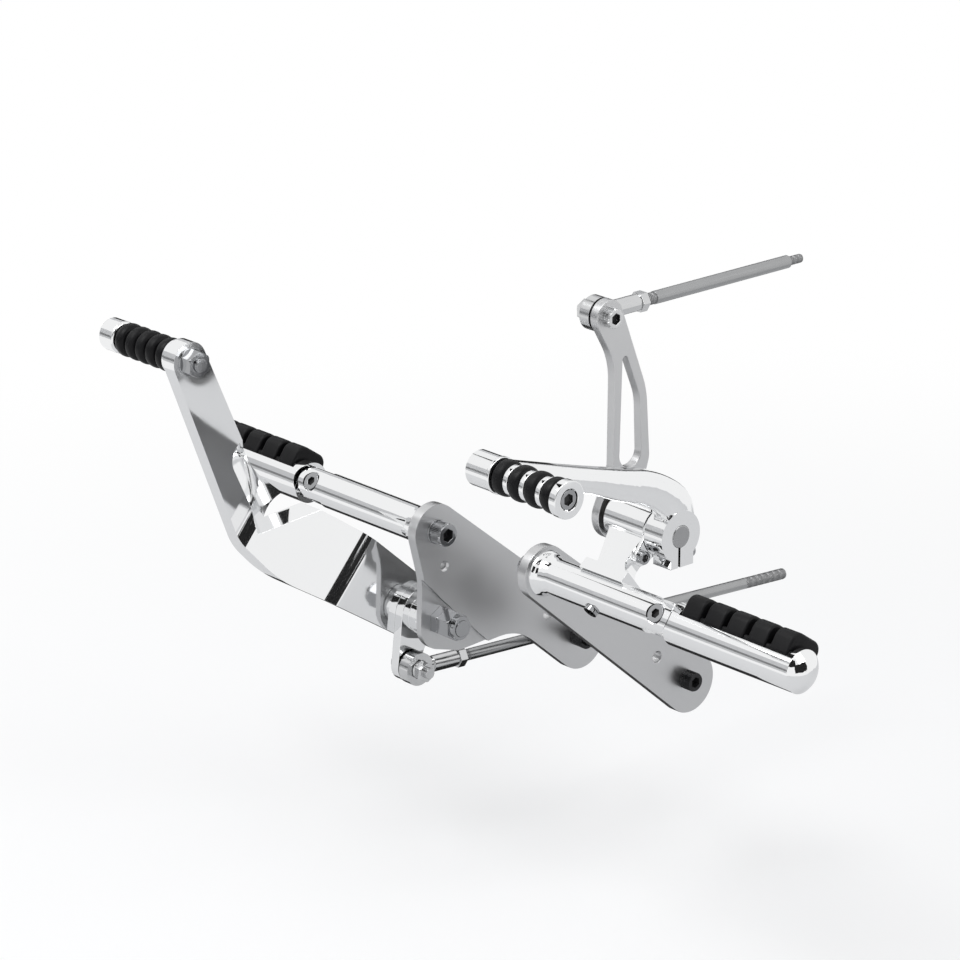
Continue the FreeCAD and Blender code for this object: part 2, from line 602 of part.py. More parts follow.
for side, word in ((1, "shift"), (-1, "brake")):
    peg_support(word + "_peg_support", side)
    footpeg(word + "_footpeg", side)
    peg_rubber(word + "_peg_rubber", side)
    fold_pin(word + "_fold_pin", side)
    s = float(side)
    inner = half_gap * s
    back = (half_gap - washer_thick) * s
    low, high = (back, inner) if side > 0 else (inner, back)
    ring = rod(word + "_washer_disc", tube_head_radius + 1.0, low, high, 0.0, 0.0)
    ring_hole = rod(word + "_washer_hole", tube_screw_radius + 0.2, low, high, 0.0, 0.0)
    finish(cut(word + "_support_washer", ring, ring_hole), word + "_support_washer")
    tip = (plate_outer + 26.0) * s
    finish(socket_screw(word + "_support_screw", tube_screw_radius, tube_head_radius, Size(11.0, "11.0"),
                        back, tip, 0.0, 0.0, side), word + "_support_screw")
    outer = plate_outer * s
    far = (half_gap - frame_bolt_end) * s
    inner_end = (half_gap - frame_spacer_length) * s
    low, high = (far, inner_end) if side > 0 else (inner_end, far)
    thread = rod(word + "_frame_thread", bolt_radius - 0.2, low, high, bolt_y, bolt_z)
    if side > 0:
        headed = socket_screw(word + "_frame_head", bolt_radius, bolt_head_radius, Size(10.0, "10.0"),
                              outer, inner_end, bolt_y, bolt_z, -side)
    else:
        shank = rod(word + "_frame_shank", bolt_radius, outer + flush_depth, inner_end, bolt_y, bolt_z)
        cone = solid("Part::Cone", word + "_frame_cone", "X", (outer, bolt_y, bolt_z),
                     Radius1=bolt_radius + flush_depth, Radius2=bolt_radius, Height=flush_depth)
        key = hexagon(word + "_frame_key", Size(5.0, "5.0"), outer, outer + 2.8, bolt_y, bolt_z)
        headed = cut(word + "_frame_flush", joined(word + "_frame_solid", shank, cone), key)
    finish(joined(word + "_frame_bolt_shape", headed, thread), word + "_frame_bolt")
    low, high = (inner_end, inner) if side > 0 else (inner, inner_end)
    bush = rod(word + "_spacer_body", bolt_radius + 3.0, low, high, bolt_y, bolt_z)
    bush_hole = rod(word + "_spacer_hole", bolt_radius + 0.15, low, high, bolt_y, bolt_z)
    finish(cut(word + "_frame_spacer", bush, bush_hole), word + "_frame_spacer")


# Brake lever. Its side outline and its kicked plan are two extrusions, and the lever is what they share.
def brake_lever():
    side_blank = new_body("lever_side")
    outline = new_sketch(side_blank, "lever_outline", "YZ_Plane", -(lever_toe_x + lever_thick + 4.0))
    rise_y, rise_z = -cosine(lever_slope), sine(lever_slope)
    knee_y, knee_z = pivot_y + rise_y * 83.0, pivot_z + rise_z * 83.0
    belt(outline, [(pivot_y, pivot_z, lever_root_radius, 1),
                   (knee_y + 25.0, knee_z + 91.0, 62.0, -1),
                   (toe_y, toe_z, lever_eye_radius, 1),
                   (knee_y - 15.4, knee_z - 2.0, 22.5, 1)])
    pad(side_blank, outline, lever_toe_x + lever_thick + 4.0 - 40.0)
    doc.recompute()
    plan_blank = new_body("lever_plan")
    plan = new_sketch(plan_blank, "lever_plan_outline", "XY_Plane")
    root_in, toe_in = -lever_root_x, -lever_toe_x
    root_out, toe_out = -(lever_root_x + lever_thick), -(lever_toe_x + lever_thick)
    start, stop = lever_kick_start, lever_kick_start + lever_kick_run
    bend = 14.0
    # The plan runs well past the toe peg, and the side outline cuts it to length.
    blank_length = toe_z - pivot_z + pivot_y - toe_y
    belt(plan, [(root_in - 2.0, -50.0, 2.0, 1), (root_in - bend, start - 12.0, bend, 1),
                (toe_in + bend, stop + 15.0, bend, -1), (toe_in - 2.0, blank_length, 2.0, 1),
                (toe_out + 2.0, blank_length, 2.0, 1), (toe_out + bend, stop + 9.0, bend, 1),
                (root_out - bend, start - 18.0, bend, -1), (root_out + 2.0, -50.0, 2.0, 1)])
    pad(plan_blank, plan, blank_length, midplane=True)
    plan_blank.Placement = turned((1, 0, 0), 180.0 - float(lever_slope))
    plan_blank.setExpression("Placement.Rotation.Angle", (180.0 - lever_slope).text)
    base(plan_blank, 0.0, pivot_y, pivot_z)
    shared = common("lever_shared", side_blank, plan_blank)
    hub_hole = rod("lever_hub_hole", pivot_bolt_radius + bush_wall, root_out - 5.0, root_in + 5.0, pivot_y, pivot_z)
    toe_hole = rod("lever_toe_hole", bolt_radius + 1.1, toe_out - 5.0, toe_in + 5.0, toe_y, toe_z)
    ball = solid("Part::Sphere", "lever_scoop_end", "Z", (toe_in + scoop_radius - scoop_depth, -89.0, 50.0),
                 Radius=scoop_radius)
    trough = solid("Part::Cylinder", "lever_scoop_run", "Z", (toe_in + scoop_radius - scoop_depth, -89.0, 50.0),
                   Radius=scoop_radius, Height=50.0)
    trough.Placement.Rotation = FreeCAD.Rotation(FreeCAD.Vector(1, 0, 0), 205.0)
    lever = cut("brake_lever_shape", shared, hub_hole, toe_hole, ball, trough)
    return finish(lever, "brake_lever")


brake_lever()


def brake_pivot():
    """What turns on the brake plate's pivot bolt, and the bolt with its nuts."""
    plate_face = -plate_outer
    arm_in = -(lever_root_x - rod_arm_thick)
    arm_out = -lever_root_x
    root_out = -(lever_root_x + lever_thick)
    boss_end = plate_face - seat_gap
    body = new_body("rod_arm_plate")
    outline = new_sketch(body, "rod_arm_outline", "YZ_Plane", arm_out)
    belt(outline, [(pivot_y, pivot_z, rod_arm_radius, 1), (rod_pin_y, rod_pin_z, 11.5, 1),
                   (rod_pin_y + 23.0, rod_pin_z + 4.0, 11.0, -1)])
    pad(body, outline, rod_arm_thick)
    boss = rod("rod_arm_boss", rod_boss_radius, arm_in, boss_end, pivot_y, pivot_z)
    hole = rod("rod_arm_hole", pivot_bolt_radius + bush_wall, arm_out - 5.0, boss_end + 5.0, pivot_y, pivot_z)
    pin_hole = rod("rod_arm_pin_hole", bolt_radius + 0.02, arm_out - 5.0, arm_in + 5.0, rod_pin_y, rod_pin_z)
    finish(cut("rod_arm", joined("rod_arm_body", body, boss), hole, pin_hole), "rod_arm")
    sleeve = rod("bush_sleeve", pivot_bolt_radius + bush_wall, root_out, boss_end, pivot_y, pivot_z)
    sleeve_hole = rod("bush_hole", pivot_bolt_radius + running_gap, root_out, boss_end, pivot_y, pivot_z)
    finish(cut("brake_pivot_bush", sleeve, sleeve_hole), "brake_pivot_bush")
    face = -(half_gap + milled_depth)
    jam_end, nut_end, collar_end = face + 7.0, face + 18.5, face + 23.0
    finish(eased_nut("pivot_jam_nut", pivot_nut_flats, face, jam_end, pivot_y, pivot_z, pivot_bolt_radius + 0.02),
           "brake_pivot_jam_nut")
    lock_hex = eased_nut("pivot_lock_hex", pivot_nut_flats, jam_end, nut_end, pivot_y, pivot_z,
                         pivot_bolt_radius + 0.02)
    collar = rod("pivot_lock_collar", pivot_nut_flats / 2 - 1.2, nut_end - 1.0, collar_end, pivot_y, pivot_z)
    collar_hole = rod("pivot_lock_hole", pivot_bolt_radius + 0.02, jam_end, collar_end, pivot_y, pivot_z)
    finish(cut("pivot_lock_nut", joined("pivot_lock_body", lock_hex, collar), collar_hole), "brake_pivot_lock_nut")
    disc_low, disc_high = root_out - seat_gap - washer_thick, root_out - seat_gap
    disc = rod("pivot_disc", pivot_bolt_radius + 6.0, disc_low, disc_high, pivot_y, pivot_z)
    disc_hole = rod("pivot_disc_hole", pivot_bolt_radius + 0.2, disc_low, disc_high, pivot_y, pivot_z)
    finish(cut("pivot_washer", disc, disc_hole), "brake_pivot_washer")
    finish(socket_screw("pivot_bolt", pivot_bolt_radius, pivot_bolt_radius + 3.5, Size(9.0, "9.0"), disc_low,
                        collar_end + 0.8, pivot_y, pivot_z, 1), "brake_pivot_bolt")


brake_pivot()


def rod_end_set(word, x, y, z, fall, bolt_from, inboard):
    """A rod end on its pin: head and shank, ball, bolt, nut and jam nut."""
    turn = FreeCAD.Rotation(FreeCAD.Vector(1, 0, 0), -90.0 - float(fall))
    head = rod(word + "_eye", eye_radius, x - eye_width / 2, x + eye_width / 2, y, z)
    stages = []
    for stage, radius, start, end in (("_eye_neck", neck_radius, 0.0, neck_length + 1.0),
                                      ("_eye_shank", shank_radius, neck_length, shank_length)):
        bar = doc.addObject("Part::Cylinder", word + stage)
        put(bar, "Radius", radius)
        put(bar, "Height", end - start)
        bar.Placement = FreeCAD.Placement(FreeCAD.Vector(), turn)
        base(bar, x, y + cosine(fall) * start, z - sine(fall) * start)
        stages.append(bar)
    socket = solid("Part::Sphere", word + "_eye_socket", "Z", (x, y, z), Radius=ball_radius + 0.25)
    bore = doc.addObject("Part::Cylinder", word + "_eye_thread")
    put(bore, "Radius", rod_radius + 0.02)
    put(bore, "Height", shank_length + 5.0)
    bore.Placement = FreeCAD.Placement(FreeCAD.Vector(), turn)
    base(bore, x, y, z)
    blank = joined(word + "_eye_body", head, *stages)
    finish(cut(word + "_rod_end", blank, socket, bore), word + "_rod_end")
    sphere = solid("Part::Sphere", word + "_ball_sphere", "Z", (x, y, z), Radius=ball_radius + 0.0)
    collar = rod(word + "_ball_collar", bolt_radius + 1.3, x - ball_width / 2, x + ball_width / 2, y, z)
    ball_hole = rod(word + "_ball_hole", bolt_radius + 0.02, x - ball_width, x + ball_width, y, z)
    slab = rod(word + "_ball_slab", ball_radius * 2, x - ball_width / 2, x + ball_width / 2, y, z)
    kept = common(word + "_ball_kept", sphere, slab)
    finish(cut(word + "_ball", joined(word + "_ball_body", kept, collar), ball_hole), word + "_rod_end_ball")
    nut_low = x + ball_width / 2 if inboard > 0 else x - ball_width / 2 - bolt_nut_height
    nut_high = nut_low + bolt_nut_height
    finish(eased_nut(word + "_end_nut", bolt_nut_flats, nut_low, nut_high, y, z, bolt_radius + 0.02),
           word + "_rod_end_nut")
    tip = nut_high + 3.0 if inboard > 0 else nut_low - 3.0
    finish(socket_screw(word + "_end_bolt", bolt_radius, bolt_head_radius, Size(6.0, "6.0"), bolt_from, tip, y, z,
                        inboard), word + "_rod_end_bolt")


def straight_rod(word, x, y, z, fall, stages):
    """A round rod from the rod end: each stage is (radius, start, end) along the rod."""
    turn = FreeCAD.Rotation(FreeCAD.Vector(1, 0, 0), -90.0 - float(fall))
    lengths = []
    for i, (radius, start, end) in enumerate(stages):
        stage = doc.addObject("Part::Cylinder", "%s_rod_stage_%d" % (word, i))
        put(stage, "Radius", radius)
        put(stage, "Height", end - start)
        stage.Placement = FreeCAD.Placement(FreeCAD.Vector(), turn)
        fall_size = fall if isinstance(fall, Size) else Size(fall, repr(float(fall)))
        base(stage, x, y + cosine(fall_size) * start, z - sine(fall_size) * start)
        lengths.append(stage)
    finish(joined(word + "_rod_shape", *lengths), word + "_rod")
    nut_start = shank_length + 0.2
    block = doc.addObject("Part::Prism", word + "_rod_nut_hex")
    block.Polygon = 6
    block.setExpression("Circumradius", (bolt_nut_flats / math.sqrt(3)).text)
    put(block, "Height", bolt_nut_height)
    hole = doc.addObject("Part::Cylinder", word + "_rod_nut_hole")
    put(hole, "Radius", rod_radius + 0.02)
    put(hole, "Height", bolt_nut_height)
    for piece in (block, hole):
        piece.Placement = FreeCAD.Placement(FreeCAD.Vector(), turn)
        base(piece, x, y + cosine(fall_size) * nut_start, z - sine(fall_size) * nut_start)
    finish(cut(word + "_rod_nut", block, hole), word + "_rod_jam_nut")


rod_end_set("brake", rod_x, rod_pin_y, rod_pin_z, rod_fall, -lever_root_x, 1)
straight_rod("brake", rod_x, rod_pin_y, rod_pin_z, rod_fall,
             [(rod_radius, shank_length - 14.0, shank_length + 13.0),
              (rod_radius + 0.25, shank_length + 12.0, rod_length - 43.0),
              (rod_radius, rod_length - 44.0, rod_length)])
rod_end_set("shift", shift_rod_x, arm_eye_y, arm_eye_z, Size(0.0, "0.0"), arm_outer, -1)
straight_rod("shift", shift_rod_x, arm_eye_y, arm_eye_z, Size(0.0, "0.0"),
             [(rod_radius, shank_length - 14.0, shank_length + 17.0),
              (shift_rod_radius, shank_length + 16.0, shift_rod_length),
              (stub_radius, shift_rod_length - 1.0, shift_rod_length + stub_length)])


def ring_group(name, first, pitch, count, width, radius, inner, y, z, side):
    """Equal rings on a toe peg, kept as separate solids in one node."""
    rings = []
    for i in range(count):
        low = first + pitch * i if side > 0 else -(first + pitch * i + width)
        ring = rod("%s_%d" % (name, i), radius, low, low + width, y, z)
        hole = rod("%s_hole_%d" % (name, i), inner, low, low + width, y, z)
        rings.append(cut("%s_ring_%d" % (name, i), ring, hole))
    group = doc.addObject("Part::Compound", name)
    group.Links = rings
    return finish(group, name)


def toe_pegs():
    # Brake side: core against the lever's outer face, five rings, end cap, bolt with washer and nut inside
    face = lever_toe_x + lever_thick
    rings_start = face + 4.5
    rings_end = rings_start + toe_ring_pitch * 5
    core = rod("brake_core_bar", toe_core_radius, -rings_end, -face, toe_y, toe_z)
    flange = rod("brake_core_flange", toe_ring_radius + 0.6, -(face + 4.0), -face, toe_y, toe_z)
    core_hole = rod("brake_core_hole", bolt_radius + 1.02, -rings_end, -face, toe_y, toe_z)
    finish(cut("brake_toe_core", joined("brake_core_body", core, flange), core_hole), "brake_toe_core")
    ring_group("brake_toe_rings", rings_start, toe_ring_pitch, 5, toe_ring_pitch - 1.4, toe_ring_radius,
               toe_core_radius, toe_y, toe_z, -1)
    cap_end = rings_end + toe_cap_length
    cap = rod("brake_cap_body", toe_ring_radius - 0.4, -cap_end, -rings_end, toe_y, toe_z)
    eased = doc.addObject("Part::Fillet", "brake_cap_eased")
    eased.Base = cap
    eased.Edges = [(3, 2.0, 2.0)]
    finish(eased, "brake_toe_cap")
    inner = -lever_toe_x
    wash = rod("brake_toe_disc", bolt_radius + 6.0, inner, inner + washer_thick, toe_y, toe_z)
    wash_hole = rod("brake_toe_disc_hole", bolt_radius + 1.1, inner, inner + washer_thick, toe_y, toe_z)
    finish(cut("brake_toe_washer_shape", wash, wash_hole), "brake_toe_washer")
    nut_low, nut_high = inner + washer_thick, inner + washer_thick + 9.0
    finish(eased_nut("brake_toe_nut_shape", bolt_nut_flats + 4.0, nut_low, nut_high, toe_y, toe_z,
                     bolt_radius + 1.02), "brake_toe_nut")
    stud = rod("brake_stud", bolt_radius + 1.0, -rings_end, nut_high + 1.5, toe_y, toe_z)
    point = rod("brake_stud_point", bolt_radius + 0.3, nut_high + 1.0, nut_high + 2.5, toe_y, toe_z)
    finish(joined("brake_stud_shape", stud, point), "brake_toe_bolt")
    # Shift side: core beyond the lever's boss, four rings with bright bands between, cap washer and screw
    boss_end = lever_toe_x + 17.0
    rings_start = boss_end + 3.0
    width = shift_ring_pitch - 4.2
    rings_end = rings_start + shift_ring_pitch * 4 - 4.2
    core = rod("shift_core_bar", toe_core_radius, boss_end, rings_end, toe_y, toe_z)
    flange = rod("shift_core_flange", toe_ring_radius + 0.4, boss_end, rings_start, toe_y, toe_z)
    core_hole = rod("shift_core_hole", bolt_radius + 0.02, boss_end, rings_end, toe_y, toe_z)
    finish(cut("shift_toe_core", joined("shift_core_body", core, flange), core_hole), "shift_toe_core")
    ring_group("shift_toe_rings", rings_start, shift_ring_pitch, 4, width, toe_ring_radius, toe_core_radius,
               toe_y, toe_z, 1)
    ring_group("shift_toe_bands", rings_start + width, shift_ring_pitch, 3, shift_ring_pitch - width,
               toe_ring_radius - 1.6, toe_core_radius, toe_y, toe_z, 1)
    disc = rod("shift_toe_disc", toe_ring_radius + 0.6, rings_end, rings_end + 6.0, toe_y, toe_z)
    disc_hole = rod("shift_toe_disc_hole", bolt_radius + 0.15, rings_end, rings_end + 6.0, toe_y, toe_z)
    seat = rod("shift_toe_seat", bolt_head_radius + 0.8, rings_end + 1.6, rings_end + 6.0, toe_y, toe_z)
    finish(cut("shift_toe_disc_shape", disc, disc_hole, seat), "shift_toe_end_disc")
    finish(socket_screw("shift_toe_screw", bolt_radius, bolt_head_radius, Size(3.8, "3.8"), rings_end + 1.6,
                        lever_toe_x + 6.0, toe_y, toe_z, -1), "shift_toe_screw")


toe_pegs()


# Carrier on the shift support, drawn leaning. The shift shaft runs through its barrel.
def carrier():
    bar_start = barrel_start + bar_inset
    barrel = rod("carrier_barrel", barrel_radius, barrel_start, keeper_x, shaft_reach, 0.0)
    foot = solid("Part::Box", "carrier_foot", "Z", (bar_start - 6.5, support_radius - foot_wrap, -foot_half),
                 Length=bar_length + 11.5, Width=foot_wrap + foot_top, Height=foot_half * 2)
    body = new_body("carrier_neck")
    face = new_sketch(body, "carrier_neck_outline", "XY_Plane")
    left, right = bar_start, bar_start + bar_length
    low, high = support_radius + 1.0, shaft_reach
    belt(face, [(left + 1.0, low + 1.0, 1.0, 1), (right - 1.0, low + 1.0, 1.0, 1),
                (keeper_x + 11.5, low + 16.0, 12.0, -1), (keeper_x - 2.5, high + 1.0, 2.0, 1),
                (barrel_start + 2.0, high + 1.0, 2.0, 1)])
    pad(body, face, 15.0, midplane=True)
    saddle = rod("carrier_saddle", support_radius + 0.02, bar_start - 10.0, right + 8.0, 0.0, 0.0)
    bore = rod("carrier_bore", shaft_radius + bush_wall, barrel_start - 5.0, keeper_x + 5.0, shaft_reach, 0.0)
    keeper_tap = rod("carrier_keeper_tap", Size(2.52, "2.52"), keeper_x - 13.0, keeper_x + 5.0,
                     shaft_reach - keeper_drop, 0.0)
    ear = rod("carrier_ear", Size(7.0, "7.0"), keeper_x - 16.0, keeper_x, shaft_reach - keeper_drop, 0.0)
    screw_tap = solid("Part::Cylinder", "carrier_screw_tap", "Y", (carrier_screw_x, 0.0, 0.0),
                      Radius=carrier_screw_radius + 0.02, Height=support_radius + 12.0)
    blank = joined("carrier_blank", barrel, foot, body, ear)
    finish(cut("carrier", blank, saddle, bore, keeper_tap, screw_tap), "shift_carrier", lean=carrier_lean)
    seat = support_radius - 2.5
    shank = solid("Part::Cylinder", "carrier_screw_shank", "Y", (carrier_screw_x, -seat, 0.0),
                  Radius=carrier_screw_radius, Height=seat + support_radius + 9.0)
    head = solid("Part::Cylinder", "carrier_screw_head", "Y", (carrier_screw_x, -(seat + 5.0), 0.0),
                 Radius=carrier_head_radius, Height=5.0)
    key = solid("Part::Prism", "carrier_screw_key", "Y", (carrier_screw_x, -(seat + 6.0), 0.0), Height=4.0)
    key.Polygon = 6
    key.Circumradius = 2.9
    finish(cut("carrier_screw", joined("carrier_screw_body", shank, head), key), "shift_carrier_screw",
           lean=carrier_lean)
    for i, start in enumerate((barrel_start, keeper_x - 14.0)):
        sleeve = rod("shaft_bush_%d" % i, shaft_radius + bush_wall, start, start + 14.0, shaft_reach, 0.0)
        hole = rod("shaft_bush_hole_%d" % i, shaft_radius + running_gap, start, start + 14.0, shaft_reach, 0.0)
        finish(cut("shaft_bush_shape_%d" % i, sleeve, hole), ("shaft_bush_inner", "shaft_bush_outer")[i],
               lean=carrier_lean)
    body = new_body("keeper_plate")
    outline = new_sketch(body, "keeper_outline", "YZ_Plane", keeper_x)
    belt(outline, [(shaft_reach, 0.0, shaft_radius + 4.0, 1), (shaft_reach - keeper_drop, 0.0, 6.5, 1)])
    pad(body, outline, keeper_thick)
    before, after = keeper_x - 1.0, keeper_x + 6.0
    hole = rod("keeper_hole", shaft_radius + seat_gap, before, after, shaft_reach, 0.0)
    screw_gap = rod("keeper_screw_gap", Size(2.7, "2.7"), before, after, shaft_reach - keeper_drop, 0.0)
    finish(cut("keeper", body, hole, screw_gap), "shaft_keeper", lean=carrier_lean)
    finish(socket_screw("keeper_screw", Size(2.5, "2.5"), Size(4.6, "4.6"), Size(3.0, "3.0"),
                        keeper_x + keeper_thick, keeper_x - 12.0, shaft_reach - keeper_drop, 0.0, -1),
           "keeper_screw", lean=carrier_lean)


carrier()


def shift_levers():
    shaft_start = arm_x
    bar = rod("shift_shaft_bar", shaft_radius, shaft_start, shaft_end, shaft_y, shaft_z)
    tapped = rod("shift_shaft_tapped", bolt_radius + 0.02, shaft_start, shaft_start + 18.0, shaft_y, shaft_z)
    finish(cut("shift_shaft_shape", bar, tapped), "shift_shaft")
    body = new_body("slotted_arm_plate")
    outline = new_sketch(body, "slotted_arm_outline", "YZ_Plane", arm_x)
    belt(outline, [(shaft_y, shaft_z, arm_hub_radius, 1), (shaft_y + 13.6, shaft_z + 36.6, 16.0, 1),
                   (arm_eye_y - 24.0, arm_eye_z - 71.0, 60.0, 1), (arm_eye_y, arm_eye_z, 12.0, 1),
                   (arm_eye_y - 45.0, arm_eye_z - 46.0, 50.0, -1),
                   (shaft_y - 22.4, shaft_z + 36.6, 18.0, -1)])
    pad(body, outline, arm_thick)
    slot = new_sketch(body, "slotted_arm_slot", "YZ_Plane", arm_x)
    belt(slot, [(shaft_y + 11.6, shaft_z + 41.1, 10.2, 1), (arm_eye_y - 11.0, arm_eye_z - 71.0, 40.5, 1),
                (arm_eye_y + 14.6, arm_eye_z - 33.0, 2.4, 1)])
    pocket(body, slot, 0, through=True)
    doc.recompute()
    shaft_hole = rod("slotted_arm_hole", shaft_radius + 0.01, arm_x - 5.0, arm_outer + 5.0, shaft_y, shaft_z)
    pin_hole = rod("slotted_arm_pin", bolt_radius + 0.02, arm_x - 5.0, arm_outer + 5.0, arm_eye_y, arm_eye_z)
    finish(cut("slotted_arm", body, shaft_hole, pin_hole), "slotted_arm")
    # Shift lever: a cast arm lofted through eased sections, on a split clamp. Each station gives the share
    # of the way from shaft to toe peg, the height above that line, the half width and the half thickness
    stations = [(0.0, 2.8, 16.5, 8.4), (0.04, 16.7, 14.0, 8.6), (0.112, 22.0, 12.8, 9.0),
                (0.225, 23.0, 11.8, 9.2), (0.363, 19.1, 10.8, 8.8), (0.532, 15.4, 9.0, 8.2),
                (0.757, 8.6, 8.4, 7.6), (1.0, 0.0, 8.2, 7.4)]
    start_x, end_x = float(hub_x + hub_length / 2), float(lever_toe_x) + 7.5
    run_y, run_z = float(toe_y) - float(shaft_y), float(toe_z) - float(shaft_z)
    run = math.hypot(run_y, run_z)
    grown = float(hub_radius) / 18.0
    stations = [(share, *(grown * v for v in rest)) for share, *rest in stations]

    def station(t):
        """The centre, half width and half thickness of the arm, smoothly between two stations."""
        i = min(int(t), len(stations) - 2)
        u = t - i
        four = [stations[min(max(k, 0), len(stations) - 1)] for k in (i - 1, i, i + 1, i + 2)]
        mix = [0.5 * (2 * b + (c - a) * u + (2 * a - 5 * b + 4 * c - d) * u * u + (3 * b - a - 3 * c + d) * u ** 3)
               for a, b, c, d in zip(*four)]
        share = min(max((mix[0] - 0.05) / 0.75, 0.0), 1.0)
        x = start_x + (end_x - start_x) * share * share * (3.0 - 2.0 * share)
        y = float(shaft_y) + run_y * mix[0] - run_z / run * mix[1] * -1.0
        z = float(shaft_z) + run_z * mix[0] - run_y / run * mix[1]
        return FreeCAD.Vector(x, y, z), mix[2], mix[3]

    wires = []
    steps = 3 * (len(stations) - 1)
    for n in range(steps + 1):
        middle, half, depth = station(n / 3.0)
        ahead = station(min(n + 0.5, steps) / 3.0)[0] - station(max(n - 0.5, 0) / 3.0)[0]
        heading = math.degrees(math.atan2(ahead.z, -ahead.y))
        heading = 180.0 - heading
        across = FreeCAD.Vector(0, math.sin(math.radians(heading)), -math.cos(math.radians(heading)))
        out = FreeCAD.Vector(1, 0, 0)
        crown = 0.15
        depth = depth - crown * half
        ease = 0.55 * depth
        points = []
        for u, v in ((1, 1), (-1, 1), (-1, -1), (1, -1)):
            corner = middle + across * (u * half) + out * (v * depth)
            along_u = across * (-u * ease)
            along_v = out * (-v * ease)
            pair = (corner + along_v, corner + (along_u + along_v) * 0.293, corner + along_u)
            points.append(pair if u * v > 0 else pair[::-1])
        edges = []
        for k in range(4):
            a, b = points[k], points[(k + 1) % 4]
            edges.append(Part.Arc(a[0], a[1], a[2]).toShape())
            if k in (0, 2):
                crest = (a[2] + b[0]) * 0.5 + out * ((1 - k) * crown * half)
                edges.append(Part.Arc(a[2], crest, b[0]).toShape())
            else:
                edges.append(Part.LineSegment(a[2], b[0]).toShape())
        wires.append(Part.Wire(edges))
    loft = doc.addObject("Part::Feature", "shift_lever_arm")
    loft.Shape = Part.makeLoft(wires, True, False)
    clamp = rod("shift_lever_hub", hub_radius, hub_x, hub_x + hub_length, shaft_y, shaft_z)
    boss = rod("shift_lever_boss", toe_boss_radius, lever_toe_x - 2.0, lever_toe_x + 17.0, toe_y, toe_z)
    ears = solid("Part::Box", "shift_lever_ears", "Z", (hub_x, shaft_y - 9.0, shaft_z - 22.0),
                 Length=hub_length, Width=21.0, Height=14.0)
    slit = solid("Part::Box", "shift_lever_slit", "Z", (hub_x - 5.0, shaft_y - 2.2, shaft_z - 30.0),
                 Length=hub_length + 10.0, Width=2.0, Height=30.0)
    bore = rod("shift_lever_bore", shaft_radius + 0.01, hub_x - 5.0, hub_x + hub_length + 5.0, shaft_y, shaft_z)
    screw_y, screw_z, screw_x = shaft_y - 16.0, shaft_z - 15.5, hub_x + hub_length / 2
    pinch = solid("Part::Cylinder", "shift_lever_pinch_hole", "Y", (screw_x, screw_y, screw_z),
                  Radius=Size(3.02, "3.02"), Height=40.0)
    toe_hole = rod("shift_lever_toe_hole", bolt_radius + 0.02, lever_toe_x + 5.0, lever_toe_x + 30.0, toe_y, toe_z)
    seat = solid("Part::Cylinder", "shift_lever_pinch_seat", "Y", (screw_x, shaft_y + 12.0, screw_z),
                 Radius=5.6, Height=20.0)
    blank = joined("shift_lever_blank", loft, clamp, boss, ears)
    finish(cut("shift_lever_shape", blank, slit, bore, pinch, seat, toe_hole), "shift_lever")
    shank = solid("Part::Cylinder", "pinch_shank", "Y", (screw_x, shaft_y - 8.8, screw_z),
                  Radius=3.0, Height=20.8)
    head = solid("Part::Cylinder", "pinch_head", "Y", (screw_x, shaft_y + 12.0, screw_z),
                 Radius=5.0, Height=6.0)
    key = solid("Part::Prism", "pinch_key", "Y", (screw_x, shaft_y + 15.0, screw_z), Height=4.0)
    key.Polygon = 6
    key.Circumradius = 2.9
    finish(cut("pinch_screw", joined("pinch_body", shank, head), key), "shift_pinch_screw")
    disc = rod("arm_disc", arm_hub_radius - 6.0, arm_x - washer_thick, arm_x, shaft_y, shaft_z)
    disc_hole = rod("arm_disc_hole", bolt_radius + 0.2, arm_x - washer_thick, arm_x, shaft_y, shaft_z)
    finish(cut("arm_washer", disc, disc_hole), "slotted_arm_washer")
    finish(socket_screw("arm_screw", bolt_radius, bolt_head_radius, Size(5.0, "5.0"), arm_x - washer_thick,
                        arm_x + 15.0, shaft_y, shaft_z, 1), "slotted_arm_screw")


shift_levers()

doc.recompute()
faults = ["%s: %s" % (o.Name, o.State) for o in doc.Objects if "Invalid" in o.State or "Error" in o.State]
for piece in parts:
    shape = piece.Shape
    if shape.isNull() or not shape.isValid() or not shape.Solids:
        faults.append("%s: shape null, not valid or without a solid" % piece.Label)
if faults:
    raise RuntimeError("; ".join(faults))

os.makedirs("parts", exist_ok=True)
for piece in parts:
    piece.Shape.exportStep(os.path.join("parts", piece.Label + ".step"))
    box = piece.Shape.BoundBox
    print("%-24s solids %d volume %9.0f  x %7.1f %7.1f  y %7.1f %7.1f  z %7.1f %7.1f" % (
        piece.Label, len(piece.Shape.Solids), piece.Shape.Volume,
        box.XMin, box.XMax, box.YMin, box.YMax, box.ZMin, box.ZMax))
print(len(parts), "nodes")
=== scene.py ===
# %% [markdown]
# A chromed forward footrest set, dressed for a studio picture.
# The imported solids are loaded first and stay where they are: they fix every size and every joint.
# What follows gives each piece its finish, and adds the small forms that a solid model leaves
# plain, such as rounded rubber, knurled screw heads and cut threads.

# %% Load the solids
import bmesh
import bpy
import json
import math
from mathutils import Matrix, Vector


